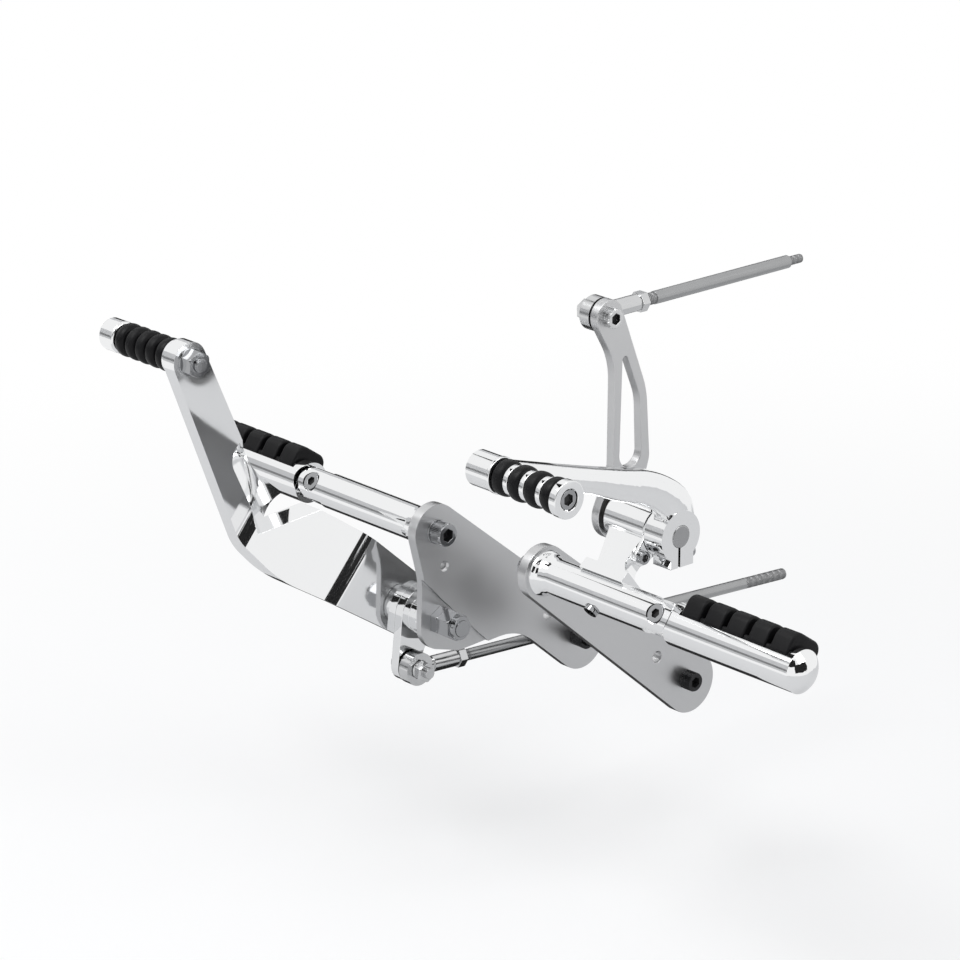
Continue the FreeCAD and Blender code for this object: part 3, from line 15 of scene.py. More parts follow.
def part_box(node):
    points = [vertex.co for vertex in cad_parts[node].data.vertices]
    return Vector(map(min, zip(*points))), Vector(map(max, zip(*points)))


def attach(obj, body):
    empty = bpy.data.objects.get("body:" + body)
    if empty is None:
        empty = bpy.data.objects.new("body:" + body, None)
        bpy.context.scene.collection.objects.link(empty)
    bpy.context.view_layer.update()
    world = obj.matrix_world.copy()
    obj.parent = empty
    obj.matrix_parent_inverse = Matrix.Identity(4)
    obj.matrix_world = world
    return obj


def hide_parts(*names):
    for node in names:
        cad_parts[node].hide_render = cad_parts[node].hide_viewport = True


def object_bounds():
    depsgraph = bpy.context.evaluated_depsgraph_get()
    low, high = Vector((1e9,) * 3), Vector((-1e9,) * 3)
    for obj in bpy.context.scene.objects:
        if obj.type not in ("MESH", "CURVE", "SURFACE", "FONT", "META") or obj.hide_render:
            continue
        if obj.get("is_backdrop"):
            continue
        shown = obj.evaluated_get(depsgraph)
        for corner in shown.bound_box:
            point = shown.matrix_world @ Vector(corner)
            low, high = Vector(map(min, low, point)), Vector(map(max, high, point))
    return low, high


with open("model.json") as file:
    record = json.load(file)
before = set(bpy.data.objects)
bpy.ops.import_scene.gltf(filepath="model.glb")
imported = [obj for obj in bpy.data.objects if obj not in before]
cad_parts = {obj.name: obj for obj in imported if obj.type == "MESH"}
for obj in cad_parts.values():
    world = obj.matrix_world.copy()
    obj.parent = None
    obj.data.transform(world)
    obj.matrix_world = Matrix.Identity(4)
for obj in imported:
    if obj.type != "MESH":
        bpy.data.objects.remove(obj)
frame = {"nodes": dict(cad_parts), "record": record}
solid_low, solid_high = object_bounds()
body_of_node = {node: body for body, nodes in frame["record"]["behaviour"]["bodies"].items()
                for node in nodes}
slot_of_node = {row["node"]: row["material_slot"] for row in frame["record"]["subparts"]}
print("solids:", len(frame["nodes"]),
      "size in mm:", [round(1000 * s) for s in solid_high - solid_low])

# %% [markdown]
# Some measures are used all through. MM turns millimetres into Blender's metres. The footpegs lie
# along X and fold about a tilted axis. Their rubber faces up and back, square to that axis, and
# PEG_LEAN is the turn about X that makes it do so. The toe pegs lie along X too, on an axis of
# their own further forward and higher.

# %% Axes of the pegs
MM = 0.001
PIVOT_TILT = math.radians(35.0)
FOLD_AXIS = (0.0, -math.cos(PIVOT_TILT), math.sin(PIVOT_TILT))
PEG_LEAN = math.radians(90.0) - PIVOT_TILT
PEG_AXIS = Vector((-52.5, -106.863, 89.669)) * MM
TOE_AXIS = PEG_AXIS + Vector((0.0, -139.0, 131.0)) * MM
print("the rubber faces", round(math.degrees(PEG_LEAN)), "degrees above the level rear")

# %% [markdown]
# Finishes. Polished chrome is a mirror, and what makes it look real is what it mirrors, together
# with faint waves left by the polishing wheel and the thinnest haze of fingerprints. Each finish
# is a small node tree: noise on Object coordinates drives roughness, tone and bump, so nothing is
# one flat value. The helpers below each add one step to such a tree, and every finish uses them.

# %% Helpers that build a finish
finishes = {}


def new_finish(name, base, metallic, roughness):
    """Starts a material with one Principled shader, and keeps it in `finishes`."""
    material = bpy.data.materials.new(name)
    material.use_nodes = True
    finishes[name] = material
    tree = material.node_tree
    shader = tree.nodes["Principled BSDF"]
    shader.inputs["Base Color"].default_value = (*base, 1.0)
    shader.inputs["Metallic"].default_value = metallic
    shader.inputs["Roughness"].default_value = roughness
    place = tree.nodes.new("ShaderNodeTexCoord")
    return tree, shader, place.outputs["Object"]


def noise(tree, place, scale, detail, stretch=(1.0, 1.0, 1.0)):
    """A noise texture in metres. An axis with a low `stretch` gets long streaks."""
    mapping = tree.nodes.new("ShaderNodeMapping")
    mapping.inputs["Scale"].default_value = stretch
    texture = tree.nodes.new("ShaderNodeTexNoise")
    texture.inputs["Scale"].default_value = scale
    texture.inputs["Detail"].default_value = detail
    tree.links.new(place, mapping.inputs["Vector"])
    tree.links.new(mapping.outputs["Vector"], texture.inputs["Vector"])
    return texture.outputs["Fac"]


def spread(tree, value, low, high, start=0.3, stop=0.7):
    """Maps a value softly from the range start to stop onto the range low to high."""
    remap = tree.nodes.new("ShaderNodeMapRange")
    remap.interpolation_type = "SMOOTHSTEP"
    remap.inputs["From Min"].default_value = start
    remap.inputs["From Max"].default_value = stop
    remap.inputs["To Min"].default_value = low
    remap.inputs["To Max"].default_value = high
    tree.links.new(value, remap.inputs["Value"])
    return remap.outputs["Result"]


def tint(tree, value, dark, light):
    """Two close colours of the same surface, mixed by a texture's value."""
    mix = tree.nodes.new("ShaderNodeMix")
    mix.data_type = "RGBA"
    mix.inputs[6].default_value = (*dark, 1.0)
    mix.inputs[7].default_value = (*light, 1.0)
    tree.links.new(value, mix.inputs[0])
    return mix.outputs[2]


def bump(tree, height, strength, distance):
    """Turns a texture's value into relief, up to `distance` metres high."""
    relief = tree.nodes.new("ShaderNodeBump")
    relief.inputs["Strength"].default_value = strength
    relief.inputs["Distance"].default_value = distance
    tree.links.new(height, relief.inputs["Height"])
    return relief.outputs["Normal"]


# %% [markdown]
# Chrome: nearly white metal. The polishing waves are centimetres long and a fraction of a
# millimetre high, and the haze is a little rougher here and there. The side plates are satin,
# so they get more haze and weaker waves than the castings. The screws are a darker metal.

# %% Polished chrome for turned and cast pieces, satin chrome for flat plates
def chrome(name, wave_scale, wave_height, haze_low, haze_high, base):
    tree, shader, place = new_finish(name, base, 1.0, haze_low)
    haze = noise(tree, place, 24.0, 2.0)
    tree.links.new(spread(tree, haze, haze_low, haze_high), shader.inputs["Roughness"])
    waves = noise(tree, place, wave_scale, 1.0)
    tree.links.new(bump(tree, waves, 0.35, wave_height), shader.inputs["Normal"])
    tone = noise(tree, place, 12.0, 2.0)
    darker = tuple(0.965 * c for c in base)
    tree.links.new(tint(tree, tone, darker, base), shader.inputs["Base Color"])


chrome("chrome_turned", 30.0, 0.00018, 0.025, 0.07, (0.88, 0.885, 0.89))
chrome("chrome_plate", 9.0, 0.0001, 0.29, 0.34, (0.60, 0.603, 0.61))
chrome("chrome_cast", 16.0, 0.0003, 0.03, 0.08, (0.87, 0.875, 0.88))
chrome("chrome_screw", 90.0, 0.00006, 0.05, 0.12, (0.36, 0.365, 0.375))
print("chrome finishes:", len(finishes))

# %% [markdown]
# Plain steel rods are drawn, which leaves fine lines along them, so their noise is stretched along
# the rod. Turned pieces get an even, broader grain. The bronze bushes, hidden in their bores, use
# the same tree in another colour.

# %% Satin steel and bronze
EVEN = (1.0, 1.0, 1.0)
ALONG_ROD = (1.0, 0.02, 1.0)
ALONG_BUSH = (0.05, 1.0, 1.0)


def satin_steel(name, base, stretch, scale=900.0, smooth=0.20, rough=0.36):
    tree, shader, place = new_finish(name, base, 1.0, smooth)
    lines = noise(tree, place, scale, 3.0, stretch)
    tree.links.new(spread(tree, lines, smooth, rough), shader.inputs["Roughness"])
    tree.links.new(bump(tree, lines, 0.2, 0.00003), shader.inputs["Normal"])
    patches = noise(tree, place, 45.0, 3.0)
    darker = tuple(0.86 * c for c in base)
    tree.links.new(tint(tree, patches, darker, base), shader.inputs["Base Color"])


satin_steel("steel_rod", (0.40, 0.405, 0.41), ALONG_ROD)
satin_steel("steel_turned", (0.66, 0.665, 0.67), EVEN, 160.0, 0.10, 0.22)
satin_steel("steel_shaft", (0.40, 0.403, 0.41), EVEN, 160.0, 0.16, 0.28)
satin_steel("steel_thread", (0.25, 0.25, 0.255), EVEN, 900.0, 0.34, 0.48)
satin_steel("bronze_bush", (0.60, 0.42, 0.20), ALONG_BUSH)
print("finishes so far:", len(finishes))

# %% [markdown]
# Black oxide is a thin dark skin on steel, worn a little lighter in patches. Moulded rubber is
# nearly black and dull, with a soft sheen on its rounded edges. Its fine grain comes from the
# mould's surface, and a few paler scuffs lie where boots and packing touch it.

# %% Black oxide and rubber
def black_oxide():
    tree, shader, place = new_finish("black_oxide", (0.012, 0.012, 0.013), 0.6, 0.35)
    wear = noise(tree, place, 260.0, 6.0)
    tree.links.new(spread(tree, wear, 0.15, 0.30), shader.inputs["Roughness"])
    tree.links.new(tint(tree, wear, (0.008, 0.008, 0.009), (0.03, 0.03, 0.032)),
                   shader.inputs["Base Color"])
    tree.links.new(bump(tree, wear, 0.2, 0.00005), shader.inputs["Normal"])


def moulded_rubber():
    tree, shader, place = new_finish("moulded_rubber", (0.005, 0.005, 0.006), 0.0, 0.5)
    grain = noise(tree, place, 1400.0, 4.0)
    cloud = noise(tree, place, 60.0, 4.0)
    tree.links.new(spread(tree, cloud, 0.34, 0.50), shader.inputs["Roughness"])
    tree.links.new(tint(tree, cloud, (0.003, 0.003, 0.0035), (0.008, 0.008, 0.009)),
                   shader.inputs["Base Color"])
    tree.links.new(bump(tree, grain, 0.35, 0.0002), shader.inputs["Normal"])
    shader.inputs["Specular IOR Level"].default_value = 0.16


black_oxide()
moulded_rubber()
print("finishes:", sorted(finishes))

# %% [markdown]
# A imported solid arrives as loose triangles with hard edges. On a real polished piece no edge is
# perfectly sharp: each carries a thin bright line where it was eased. So each solid is copied, its
# triangles are merged, its flat faces are joined, and a narrow bevel is put on its edges. A
# weighted normal then lets the large faces rule the shading, so a plate reads as flat right up to
# its bevel.

# %% Ease a solid's edges
BEVEL_OVER = math.radians(28.0)
SHARP_OVER = math.radians(38.0)
FLAT_UNDER = math.radians(0.4)
WELD = 1e-6


def placed(name, data):
    """An object in the scene that carries the given mesh, lamp or camera."""
    made = bpy.data.objects.new(name, data)
    bpy.context.scene.collection.objects.link(made)
    return made


def settle(piece):
    """Turns the piece's modifiers into its mesh."""
    bpy.context.view_layer.update()
    shaped = piece.evaluated_get(bpy.context.evaluated_depsgraph_get())
    settled = bpy.data.meshes.new_from_object(shaped)
    piece.modifiers.clear()
    piece.data = settled


def eased_copy(node, width, finish):
    """A merged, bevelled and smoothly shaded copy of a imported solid, which then stands for it."""
    mesh = frame["nodes"][node].data.copy()
    mesh.materials.clear()
    work = bmesh.new()
    work.from_mesh(mesh)
    bmesh.ops.remove_doubles(work, verts=work.verts, dist=WELD)
    bmesh.ops.dissolve_limit(work, angle_limit=FLAT_UNDER, verts=work.verts, edges=work.edges)
    for edge in work.edges:
        edge.smooth = True
    work.to_mesh(mesh)
    work.free()
    mesh.name = node + "_eased"
    mesh.materials.append(finishes[finish])
    piece = placed(node + "_eased", mesh)
    bevel = piece.modifiers.new("ease", "BEVEL")
    bevel.width = width * MM
    bevel.segments = 2
    bevel.limit_method = "ANGLE"
    bevel.angle_limit = BEVEL_OVER
    settle(piece)
    piece.data.shade_smooth()
    piece.data.set_sharp_from_angle(angle=SHARP_OVER)
    weigh = piece.modifiers.new("weigh", "WEIGHTED_NORMAL")
    weigh.weight = 90
    weigh.keep_sharp = True
    settle(piece)
    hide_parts(node)
    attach(piece, body_of_node[node])
    return piece


# %% [markdown]
# Which piece gets which finish. A plate is cut and its edges are broken with a file, a casting is
# ground rounder, and a screw comes crisp from its die, so the easing differs with the finish.

# %% Choose each node's easing, in millimetres, and its finish
easing = {
    "chrome_plate": (0.5, ["shift_plate", "brake_plate", "slotted_arm"]),
    "chrome_cast": (0.8, ["brake_lever", "shift_lever", "rod_arm", "shift_carrier"]),
    "chrome_turned": (0.5, ["shift_peg_support", "brake_peg_support", "shift_footpeg",
                            "brake_footpeg", "brake_toe_core", "brake_toe_cap", "shift_toe_core",
                            "shift_toe_bands", "shift_toe_end_disc", "shaft_keeper"]),
    "chrome_screw": (0.3, [node for node, slot_name in slot_of_node.items()
                           if slot_name == "polished_screw"]),
    "steel_turned": (0.3, [side + piece for side in ("brake_rod_", "shift_rod_")
                           for piece in ("end", "end_ball", "end_nut", "end_bolt", "jam_nut")]),
    "steel_shaft": (1.0, ["shift_shaft"]),
    "steel_rod": (0.3, ["brake_rod", "shift_rod"]),
    "black_oxide": (0.3, ["shift_frame_bolt", "brake_frame_bolt", "shift_frame_spacer",
                          "brake_frame_spacer"]),
    "bronze_bush": (0.2, ["brake_pivot_bush", "shaft_bush_inner", "shaft_bush_outer"]),
}
eased = {}
for finish, (width, nodes) in easing.items():
    for node in nodes:
        eased[node] = eased_copy(node, width, finish)
print("eased pieces:", len(eased), "triangles:",
      sum(len(face.vertices) - 2 for piece in eased.values() for face in piece.data.polygons))

# %% [markdown]
# A hexagon socket looks black, however bright its screw: light that enters bounces from wall to
# wall and little comes out. That shade is painted here: the faces inside each socket are found by
# their place, near the screw's axis and below its rim, and get a dull near-black material of
# painted shade.

# %% Darken the hexagon sockets with painted shade
HEAD_SAMPLE = 2.0 * MM
RIM_DEPTH, SOCKET_FLOOR = 0.25 * MM, 8.0 * MM


# Painted shade: a near-black, dull material for the faces deep in a socket, in place of the shade
# that falls there.
def socket_painted_shade():
    tree, shader, place = new_finish("socket_painted_shade", (0.012, 0.012, 0.012), 0.2, 0.5)
    recess_noise = noise(tree, place, 500.0, 3.0)
    tree.links.new(spread(tree, recess_noise, 0.35, 0.7), shader.inputs["Roughness"])
    tree.links.new(tint(tree, recess_noise, (0.006, 0.006, 0.006), (0.03, 0.03, 0.031)),
                   shader.inputs["Base Color"])


def darken_socket(node, out, reach):
    """Paints the faces inside a socket with the painted shade. `out` points out of the screw's
    head.
    """
    mesh = eased[node].data
    mesh.materials.append(finishes["socket_painted_shade"])
    out = Vector(out).normalized()
    top = max(v.co.dot(out) for v in mesh.vertices)
    head = [v.co for v in mesh.vertices if v.co.dot(out) > top - HEAD_SAMPLE]
    middle = sum(head, Vector()) / len(head)
    count = 0
    for face in mesh.polygons:
        depth = top - face.center.dot(out)
        offset = face.center - middle
        sideways = (offset - offset.dot(out) * out).length
        inside = RIM_DEPTH < depth < SOCKET_FLOOR and sideways < reach * MM
        # Faces inside the socket take the painted shade.
        if inside and face.normal.dot(out) > -0.5:
            face.material_index = 1
            count += 1
    return count


socket_painted_shade()
sockets = [  # screw, way out of its head, reach of the socket in mm
    ("shift_support_screw", (-1, 0, 0), 4.9), ("brake_support_screw", (1, 0, 0), 4.9),
    ("shift_frame_bolt", (1, 0, 0), 3.7), ("brake_frame_bolt", (-1, 0, 0), 3.2),
    ("brake_pivot_bolt", (-1, 0, 0), 5.6), ("brake_rod_end_bolt", (-1, 0, 0), 3.7),
    ("shift_rod_end_bolt", (1, 0, 0), 3.7), ("shift_toe_screw", (1, 0, 0), 3.7),
    ("keeper_screw", (1, 0, 0), 2.4), ("slotted_arm_screw", (-1, 0, 0), 3.7),
    ("shift_fold_pin", FOLD_AXIS, 3.7), ("brake_fold_pin", FOLD_AXIS, 3.7),
    ("shift_pinch_screw", (0, 1, 0), 3.0),
]
for node, out, reach in sockets:
    print(node, "socket faces:", darken_socket(node, out, reach))

# %% [markdown]
# Geometry Nodes make what repeats. Each tree is built here in code. All of them end alike: the
# shape is turned and moved to its place, made real, and given its finish. So helpers start, link
# and end a tree, and each tree below only says what it repeats. The last helper runs a tree with
# its values and keeps a plain mesh.

# %% Helpers for the trees
def start_tree(name, inputs):
    """A tree with named inputs, the identifiers of those inputs, and the node that gives them."""
    tree = bpy.data.node_groups.new(name, "GeometryNodeTree")
    names = {}
    for label, kind, value in inputs + [("Start", "Vector", (0.0, 0.0, 0.0)),
                                        ("Turn", "Vector", (0.0, 0.0, 0.0)),
                                        ("Finish", "Material", None)]:
        entry = tree.interface.new_socket(label, in_out="INPUT", socket_type="NodeSocket" + kind)
        if value is not None:
            entry.default_value = value
        names[label] = entry.identifier
    return tree, names, tree.nodes.new("NodeGroupInput")


def wire(tree, rows):
    """Links a tree's nodes. Each row names a node and its output, then a node and its input."""
    for source, output, target, entry in rows:
        tree.links.new(source.outputs[output], target.inputs[entry])


def end_tree(tree, given, source, output):
    """Turns, moves, realizes and paints what `source` makes, as the tree's result."""
    tree.interface.new_socket("Result", in_out="OUTPUT", socket_type="NodeSocketGeometry")
    made = tree.nodes.new("NodeGroupOutput")
    move = tree.nodes.new("GeometryNodeTransform")
    solid = tree.nodes.new("GeometryNodeRealizeInstances")
    paint = tree.nodes.new("GeometryNodeSetMaterial")
    wire(tree, [(source, output, move, "Geometry"), (given, "Start", move, "Translation"),
                (given, "Turn", move, "Rotation"), (move, "Geometry", solid, "Geometry"),
                (solid, "Geometry", paint, "Geometry"), (given, "Finish", paint, "Material"),
                (paint, "Geometry", made, "Result")])


def grown(name, mesh, tree, inputs, values, sharp=40.0):
    """Runs a tree on a mesh with the given values, and keeps the result as a plain mesh."""
    seed = placed(name + "_seed", mesh)
    modifier = seed.modifiers.new(name, "NODES")
    modifier.node_group = tree
    for key, value in values.items():
        modifier[inputs[key]] = value
    bpy.context.view_layer.update()
    shaped = seed.evaluated_get(bpy.context.evaluated_depsgraph_get())
    result = bpy.data.meshes.new_from_object(shaped)
    bpy.data.objects.remove(seed)
    result.shade_smooth()
    result.set_sharp_from_angle(angle=math.radians(sharp))
    return placed(name, result)


# %% [markdown]
# The first tree repeats one shape along a straight line: the rubber blocks of the footpegs, and
# the rings of the toe pegs.

# %% Build the tree that repeats a shape in a row
def row_tree():
    tree, names, given = start_tree("row_of_shapes", [
        ("Shape", "Geometry", None), ("Count", "Int", 5), ("Step", "Vector", (0.02, 0.0, 0.0))])
    line = tree.nodes.new("GeometryNodeMeshLine")
    line.mode = "OFFSET"
    place = tree.nodes.new("GeometryNodeInstanceOnPoints")
    wire(tree, [(given, "Count", line, "Count"), (given, "Step", line, "Offset"),
                (line, "Mesh", place, "Points"), (given, "Shape", place, "Instance")])
    end_tree(tree, given, place, "Instances")
    return tree, names


row_of_shapes, row_inputs = row_tree()
print("inputs of a row:", list(row_inputs))

# %% [markdown]
# A footpeg's rubber is one moulding with five blocks. Seen from the end, a block is a saddle: flat
# below, where it lies on the peg, and crowned above. Its edges are well rounded in every
# direction, because rubber comes out of its mould that way. One block is drawn as a closed
# outline, pulled to its length, and rounded with a bevel. Then the tree repeats it.

# %% Draw one rubber block
BLOCK_PITCH, BLOCK_GROOVE, BLOCK_ROUNDING = 20.0, 4.2, 1.9
RUBBER_SEAT, RUBBER_CROWN, RUBBER_HALF, RUBBER_SHOULDER = 4.5, 22.3, 14.9, 7.6


def plain_mesh(name, work):
    """The mesh that a bmesh holds."""
    mesh = bpy.data.meshes.new(name)
    work.to_mesh(mesh)
    work.free()
    return mesh


def block_outline(base, crown, half, shoulder, steps=7):
    """Points (across, up) of a block's end: straight sides and a top with round shoulders."""
    points = [(-half, base), (half, base)]
    for centre_across, first in ((half - shoulder, 0.0), (shoulder - half, 90.0)):
        for i in range(steps + 1):
            turn = math.radians(first + 90.0 * i / steps)
            points.append((centre_across + shoulder * math.cos(turn),
                           crown - shoulder + shoulder * math.sin(turn)))
    return points


def pulled_outline(name, outline, length, rounding, segments):
    """An outline pulled along X by length, with all its edges rounded."""
    work = bmesh.new()
    ends = []
    for x in (-length / 2, length / 2):
        ends.append([work.verts.new((x * MM, up * MM, across * MM)) for across, up in outline])
    left, right = ends
    count = len(outline)
    for i in range(count):
        work.faces.new((left[i], left[(i + 1) % count], right[(i + 1) % count], right[i]))
    work.faces.new(left[::-1])
    work.faces.new(right)
    bmesh.ops.recalc_face_normals(work, faces=work.faces)
    sharp = [edge for edge in work.edges
             if len(edge.link_faces) == 2 and edge.calc_face_angle() > math.radians(40)]
    bmesh.ops.bevel(work, geom=sharp, offset=rounding * MM, segments=segments, affect="EDGES",
                    profile=0.6)
    return plain_mesh(name, work)


block = pulled_outline(
    "rubber_block", block_outline(RUBBER_SEAT, RUBBER_CROWN, RUBBER_HALF, RUBBER_SHOULDER),
    BLOCK_PITCH - BLOCK_GROOVE, BLOCK_ROUNDING, 4)
print("one block has", len(block.polygons), "faces")

# %% [markdown]
# The blocks stand on a low strip that joins them, a little narrower than they are, which shows as
# the floor of each groove. Both ride on the footpeg, so they fold up with it.

# %% Repeat the block along each footpeg, over its strip
BLOCK_COUNT, BLOCK_START = 5, 21.0
PIVOT_REACH = 177.0
STRIP_HEIGHT, STRIP_INSET, STRIP_END, STRIP_ROUNDING = 4.0, 1.6, 0.6, 0.8
rubber_length = BLOCK_PITCH * BLOCK_COUNT
strip_outline = block_outline(RUBBER_SEAT, RUBBER_SEAT + STRIP_HEIGHT, RUBBER_HALF - STRIP_INSET,
                              STRIP_INSET, 4)
for side, word in ((1, "shift"), (-1, "brake")):
    rubber_start = PIVOT_REACH + BLOCK_START
    first = Vector((side * (rubber_start + BLOCK_PITCH / 2) * MM, 0.0, 0.0))
    middle = Vector((side * (rubber_start + rubber_length / 2) * MM, 0.0, 0.0))
    look = {"Turn": (PEG_LEAN, 0.0, 0.0), "Finish": finishes["moulded_rubber"]}
    blocks = grown(word + "_peg_blocks", block.copy(), row_of_shapes, row_inputs,
                   {"Count": BLOCK_COUNT, "Step": (side * BLOCK_PITCH * MM, 0.0, 0.0),
                    "Start": PEG_AXIS + first, **look})
    strip_mesh = pulled_outline(word + "_strip", strip_outline, rubber_length - 2 * STRIP_END,
                                STRIP_ROUNDING, 3)
    strip = grown(word + "_peg_strip", strip_mesh, row_of_shapes, row_inputs,
                  {"Count": 1, "Step": (0.0, 0.0, 0.0), "Start": PEG_AXIS + middle, **look})
    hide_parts(word + "_peg_rubber")
    for piece in (blocks, strip):
        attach(piece, word + "_peg")
print("blocks on each footpeg:", BLOCK_COUNT)

# %% [markdown]
# The toe pegs carry separate rubber rings, pushed over a core. A ring's rims are rounded, so light
# runs round it as a soft line. Its section is spun round the peg.

# %% Spin one rubber ring
TOE_CORE, RING_OUTER = 7.5, 12.0
RING_BORE_INSET = 0.2


def spun_ring(name, width, rounding, rim_points=6, turns=56):
    """A ring about the X axis with rounded rims, from a closed section."""
    half = width / 2
    section = [(RING_BORE_INSET - half, TOE_CORE), (half - RING_BORE_INSET, TOE_CORE)]
    for corner_x, first in ((half - rounding, 0.0), (rounding - half, 90.0)):
        for i in range(rim_points):
            turn = math.radians(first + 90.0 * i / (rim_points - 1))
            section.append((corner_x + rounding * math.cos(turn),
                            RING_OUTER - rounding + rounding * math.sin(turn)))
    work = bmesh.new()
    loops = []
    for k in range(turns):
        around = 2 * math.pi * k / turns
        loops.append([work.verts.new((x * MM, r * math.cos(around) * MM, r * math.sin(around) * MM))
                      for x, r in section])
    count = len(section)
    for k in range(turns):
        here, there = loops[k], loops[(k + 1) % turns]
        for i in range(count):
            work.faces.new((here[i], here[(i + 1) % count], there[(i + 1) % count], there[i]))
    bmesh.ops.recalc_face_normals(work, faces=work.faces)
    return plain_mesh(name, work)


print("a ring's wall is", RING_OUTER - TOE_CORE, "mm thick")

# %% [markdown]
# The brake's toe peg has five rings side by side. The shift's has four, with a bright band
# between each two. The same tree as before sets them in a row, and they ride on their pedal.

# %% Set the rings on both toe pegs
toe_rows = {  # side, first ring from the middle, pitch, count, ring width, rounding, in mm
    "brake": (-1, 165.5, 11.2, 5, 9.8, 4.0),
    "shift": (1, 169.0, 15.0, 4, 10.8, 4.2),
}
for word, (side, first, pitch, count, width, rounding) in toe_rows.items():
    ring = spun_ring(word + "_ring", width, rounding)
    start = TOE_AXIS + Vector((side * (first + width / 2) * MM, 0.0, 0.0))
    rings = grown(word + "_toe_rubber", ring, row_of_shapes, row_inputs,
                  {"Count": count, "Step": (side * pitch * MM, 0.0, 0.0), "Start": start,
                   "Turn": (0.0, 0.0, 0.0), "Finish": finishes["moulded_rubber"]})
    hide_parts(word + "_toe_rings")
    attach(rings, word + "_pedal")
    print(word, "toe peg rings:", count)

# %% [markdown]
# Threads. A cut thread is a ridge that winds round its rod. A spiral curve gives the path, and a
# small four-sided section swept along it gives the ridge. The tree takes the radius, the length,
# the number of turns and the size of the ridge.

# %% Build the tree that winds a thread
def thread_tree():
    tree, names, given = start_tree("wound_thread", [
        ("Turns", "Float", 20.0), ("Radius", "Float", 0.004), ("Length", "Float", 0.02),
        ("Ridge", "Float", 0.0004)])
    spiral = tree.nodes.new("GeometryNodeCurveSpiral")
    spiral.inputs["Resolution"].default_value = 28
    section = tree.nodes.new("GeometryNodeCurvePrimitiveCircle")
    section.inputs["Resolution"].default_value = 4
    sweep = tree.nodes.new("GeometryNodeCurveToMesh")
    sweep.inputs["Fill Caps"].default_value = True
    wire(tree, [(given, "Turns", spiral, "Rotations"), (given, "Radius", spiral, "Start Radius"),
                (given, "Radius", spiral, "End Radius"), (given, "Length", spiral, "Height"),
                (given, "Ridge", section, "Radius"), (spiral, "Curve", sweep, "Curve"),
                (section, "Curve", sweep, "Profile Curve")])
    end_tree(tree, given, sweep, "Mesh")
    return tree, names


wound_thread, thread_inputs = thread_tree()
print("inputs of a thread:", list(thread_inputs))

# %% [markdown]
# Where the threads are. Each rod starts at its rod end, whose eye is on a pedal or arm, and runs
# to the rear. The brake rod falls a little on its way, and the shift rod is level. Its rear thread
# is a size smaller. The frame bolts stick out inwards, where the frame's own bosses will be.

# %% Wind the threads of both rods and of both frame bolts
ROD_FALL = math.radians(3.4)
BRAKE_EYE = PEG_AXIS + Vector((-66.5, -7.5, -105.0)) * MM
SHIFT_EYE = PEG_AXIS + Vector((68.0, 38.0, 179.0)) * MM
PLATE_SLOPE = math.radians(40.0)
BOLT_REACH = 37.5 * MM  # from the shift plate's frame hole, where the origin is
ALONG_X = (0.0, math.radians(90.0), 0.0)
RIDGE_SHARE = 0.29  # of the pitch
RIDGE_SINK = 0.08  # mm


def along(eye, fall, distance):
    """A point on a rod, at a distance in mm from the middle of its rod end."""
    return eye + Vector((0.0, math.cos(fall), -math.sin(fall))) * (distance * MM)


def to_rear(fall):
    """The turn that sends a spiral's own Z along a rod."""
    return (math.radians(-90.0) - fall, 0.0, 0.0)


def beside_plate(x):
    """A point on the frame bolts' common axis, x mm from the origin."""
    return Vector((x * MM, BOLT_REACH * math.cos(PLATE_SLOPE), -BOLT_REACH * math.sin(PLATE_SLOPE)))


threads = [  # name, body, slot, start, turn, radius, length, pitch, finish
    ("brake_rod_tail_thread", "brake_linkage", "steel", along(BRAKE_EYE, ROD_FALL, 330.5),
     to_rear(ROD_FALL), 4.0, 42.0, 1.25, "steel_thread"),
    ("brake_rod_head_thread", "brake_linkage", "steel", along(BRAKE_EYE, ROD_FALL, 44.0),
     to_rear(ROD_FALL), 4.0, 5.6, 1.25, "steel_thread"),
    ("shift_rod_head_thread", "shift_linkage", "steel", along(SHIFT_EYE, 0.0, 44.0),
     to_rear(0.0), 4.0, 9.4, 1.25, "steel_thread"),
    ("shift_rod_tail_thread", "shift_linkage", "steel", along(SHIFT_EYE, 0.0, 183.5),
     to_rear(0.0), 3.0, 12.2, 1.0, "steel_thread"),
    ("shift_frame_bolt_thread", "mounting", "black_screw", beside_plate(-31.6),
     ALONG_X, 3.8, 19.2, 1.25, "black_oxide"),
    ("brake_frame_bolt_thread", "mounting", "black_screw", beside_plate(-92.6),
     ALONG_X, 3.8, 19.2, 1.25, "black_oxide"),
]
for name, body, slot_name, start, turn, radius, length, pitch, finish in threads:
    thread = grown(name, bpy.data.meshes.new(name + "_empty"), wound_thread, thread_inputs,
                   {"Turns": length / pitch, "Radius": (radius - RIDGE_SINK) * MM,
                    "Length": length * MM, "Ridge": RIDGE_SHARE * pitch * MM, "Start": start,
                    "Turn": turn, "Finish": finishes[finish]}, 60.0)
    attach(thread, body)
print("threads wound:", len(threads))

# %% [markdown]
# The heads of socket screws are knurled: fine straight ridges all round, for turning them by hand.
# One ridge is a slim prism. A mesh circle gives the places, and each ridge turns to face outwards.

# %% Build the tree that sets ridges round a head
def knurl_tree():
    tree, names, given = start_tree("ring_of_ridges", [
        ("Ridge", "Geometry", None), ("Count", "Int", 40), ("Radius", "Float", 0.008)])
    ring = tree.nodes.new("GeometryNodeMeshCircle")
    facing = tree.nodes.new("GeometryNodeInputPosition")
    align = tree.nodes.new("FunctionNodeAlignEulerToVector")
    align.axis = "X"
    align.pivot_axis = "Z"
    place = tree.nodes.new("GeometryNodeInstanceOnPoints")
    wire(tree, [(given, "Count", ring, "Vertices"), (given, "Radius", ring, "Radius"),
                (facing, "Position", align, "Vector"), (ring, "Mesh", place, "Points"),
                (given, "Ridge", place, "Instance"), (align, "Rotation", place, "Rotation")])
    end_tree(tree, given, place, "Instances")
    return tree, names


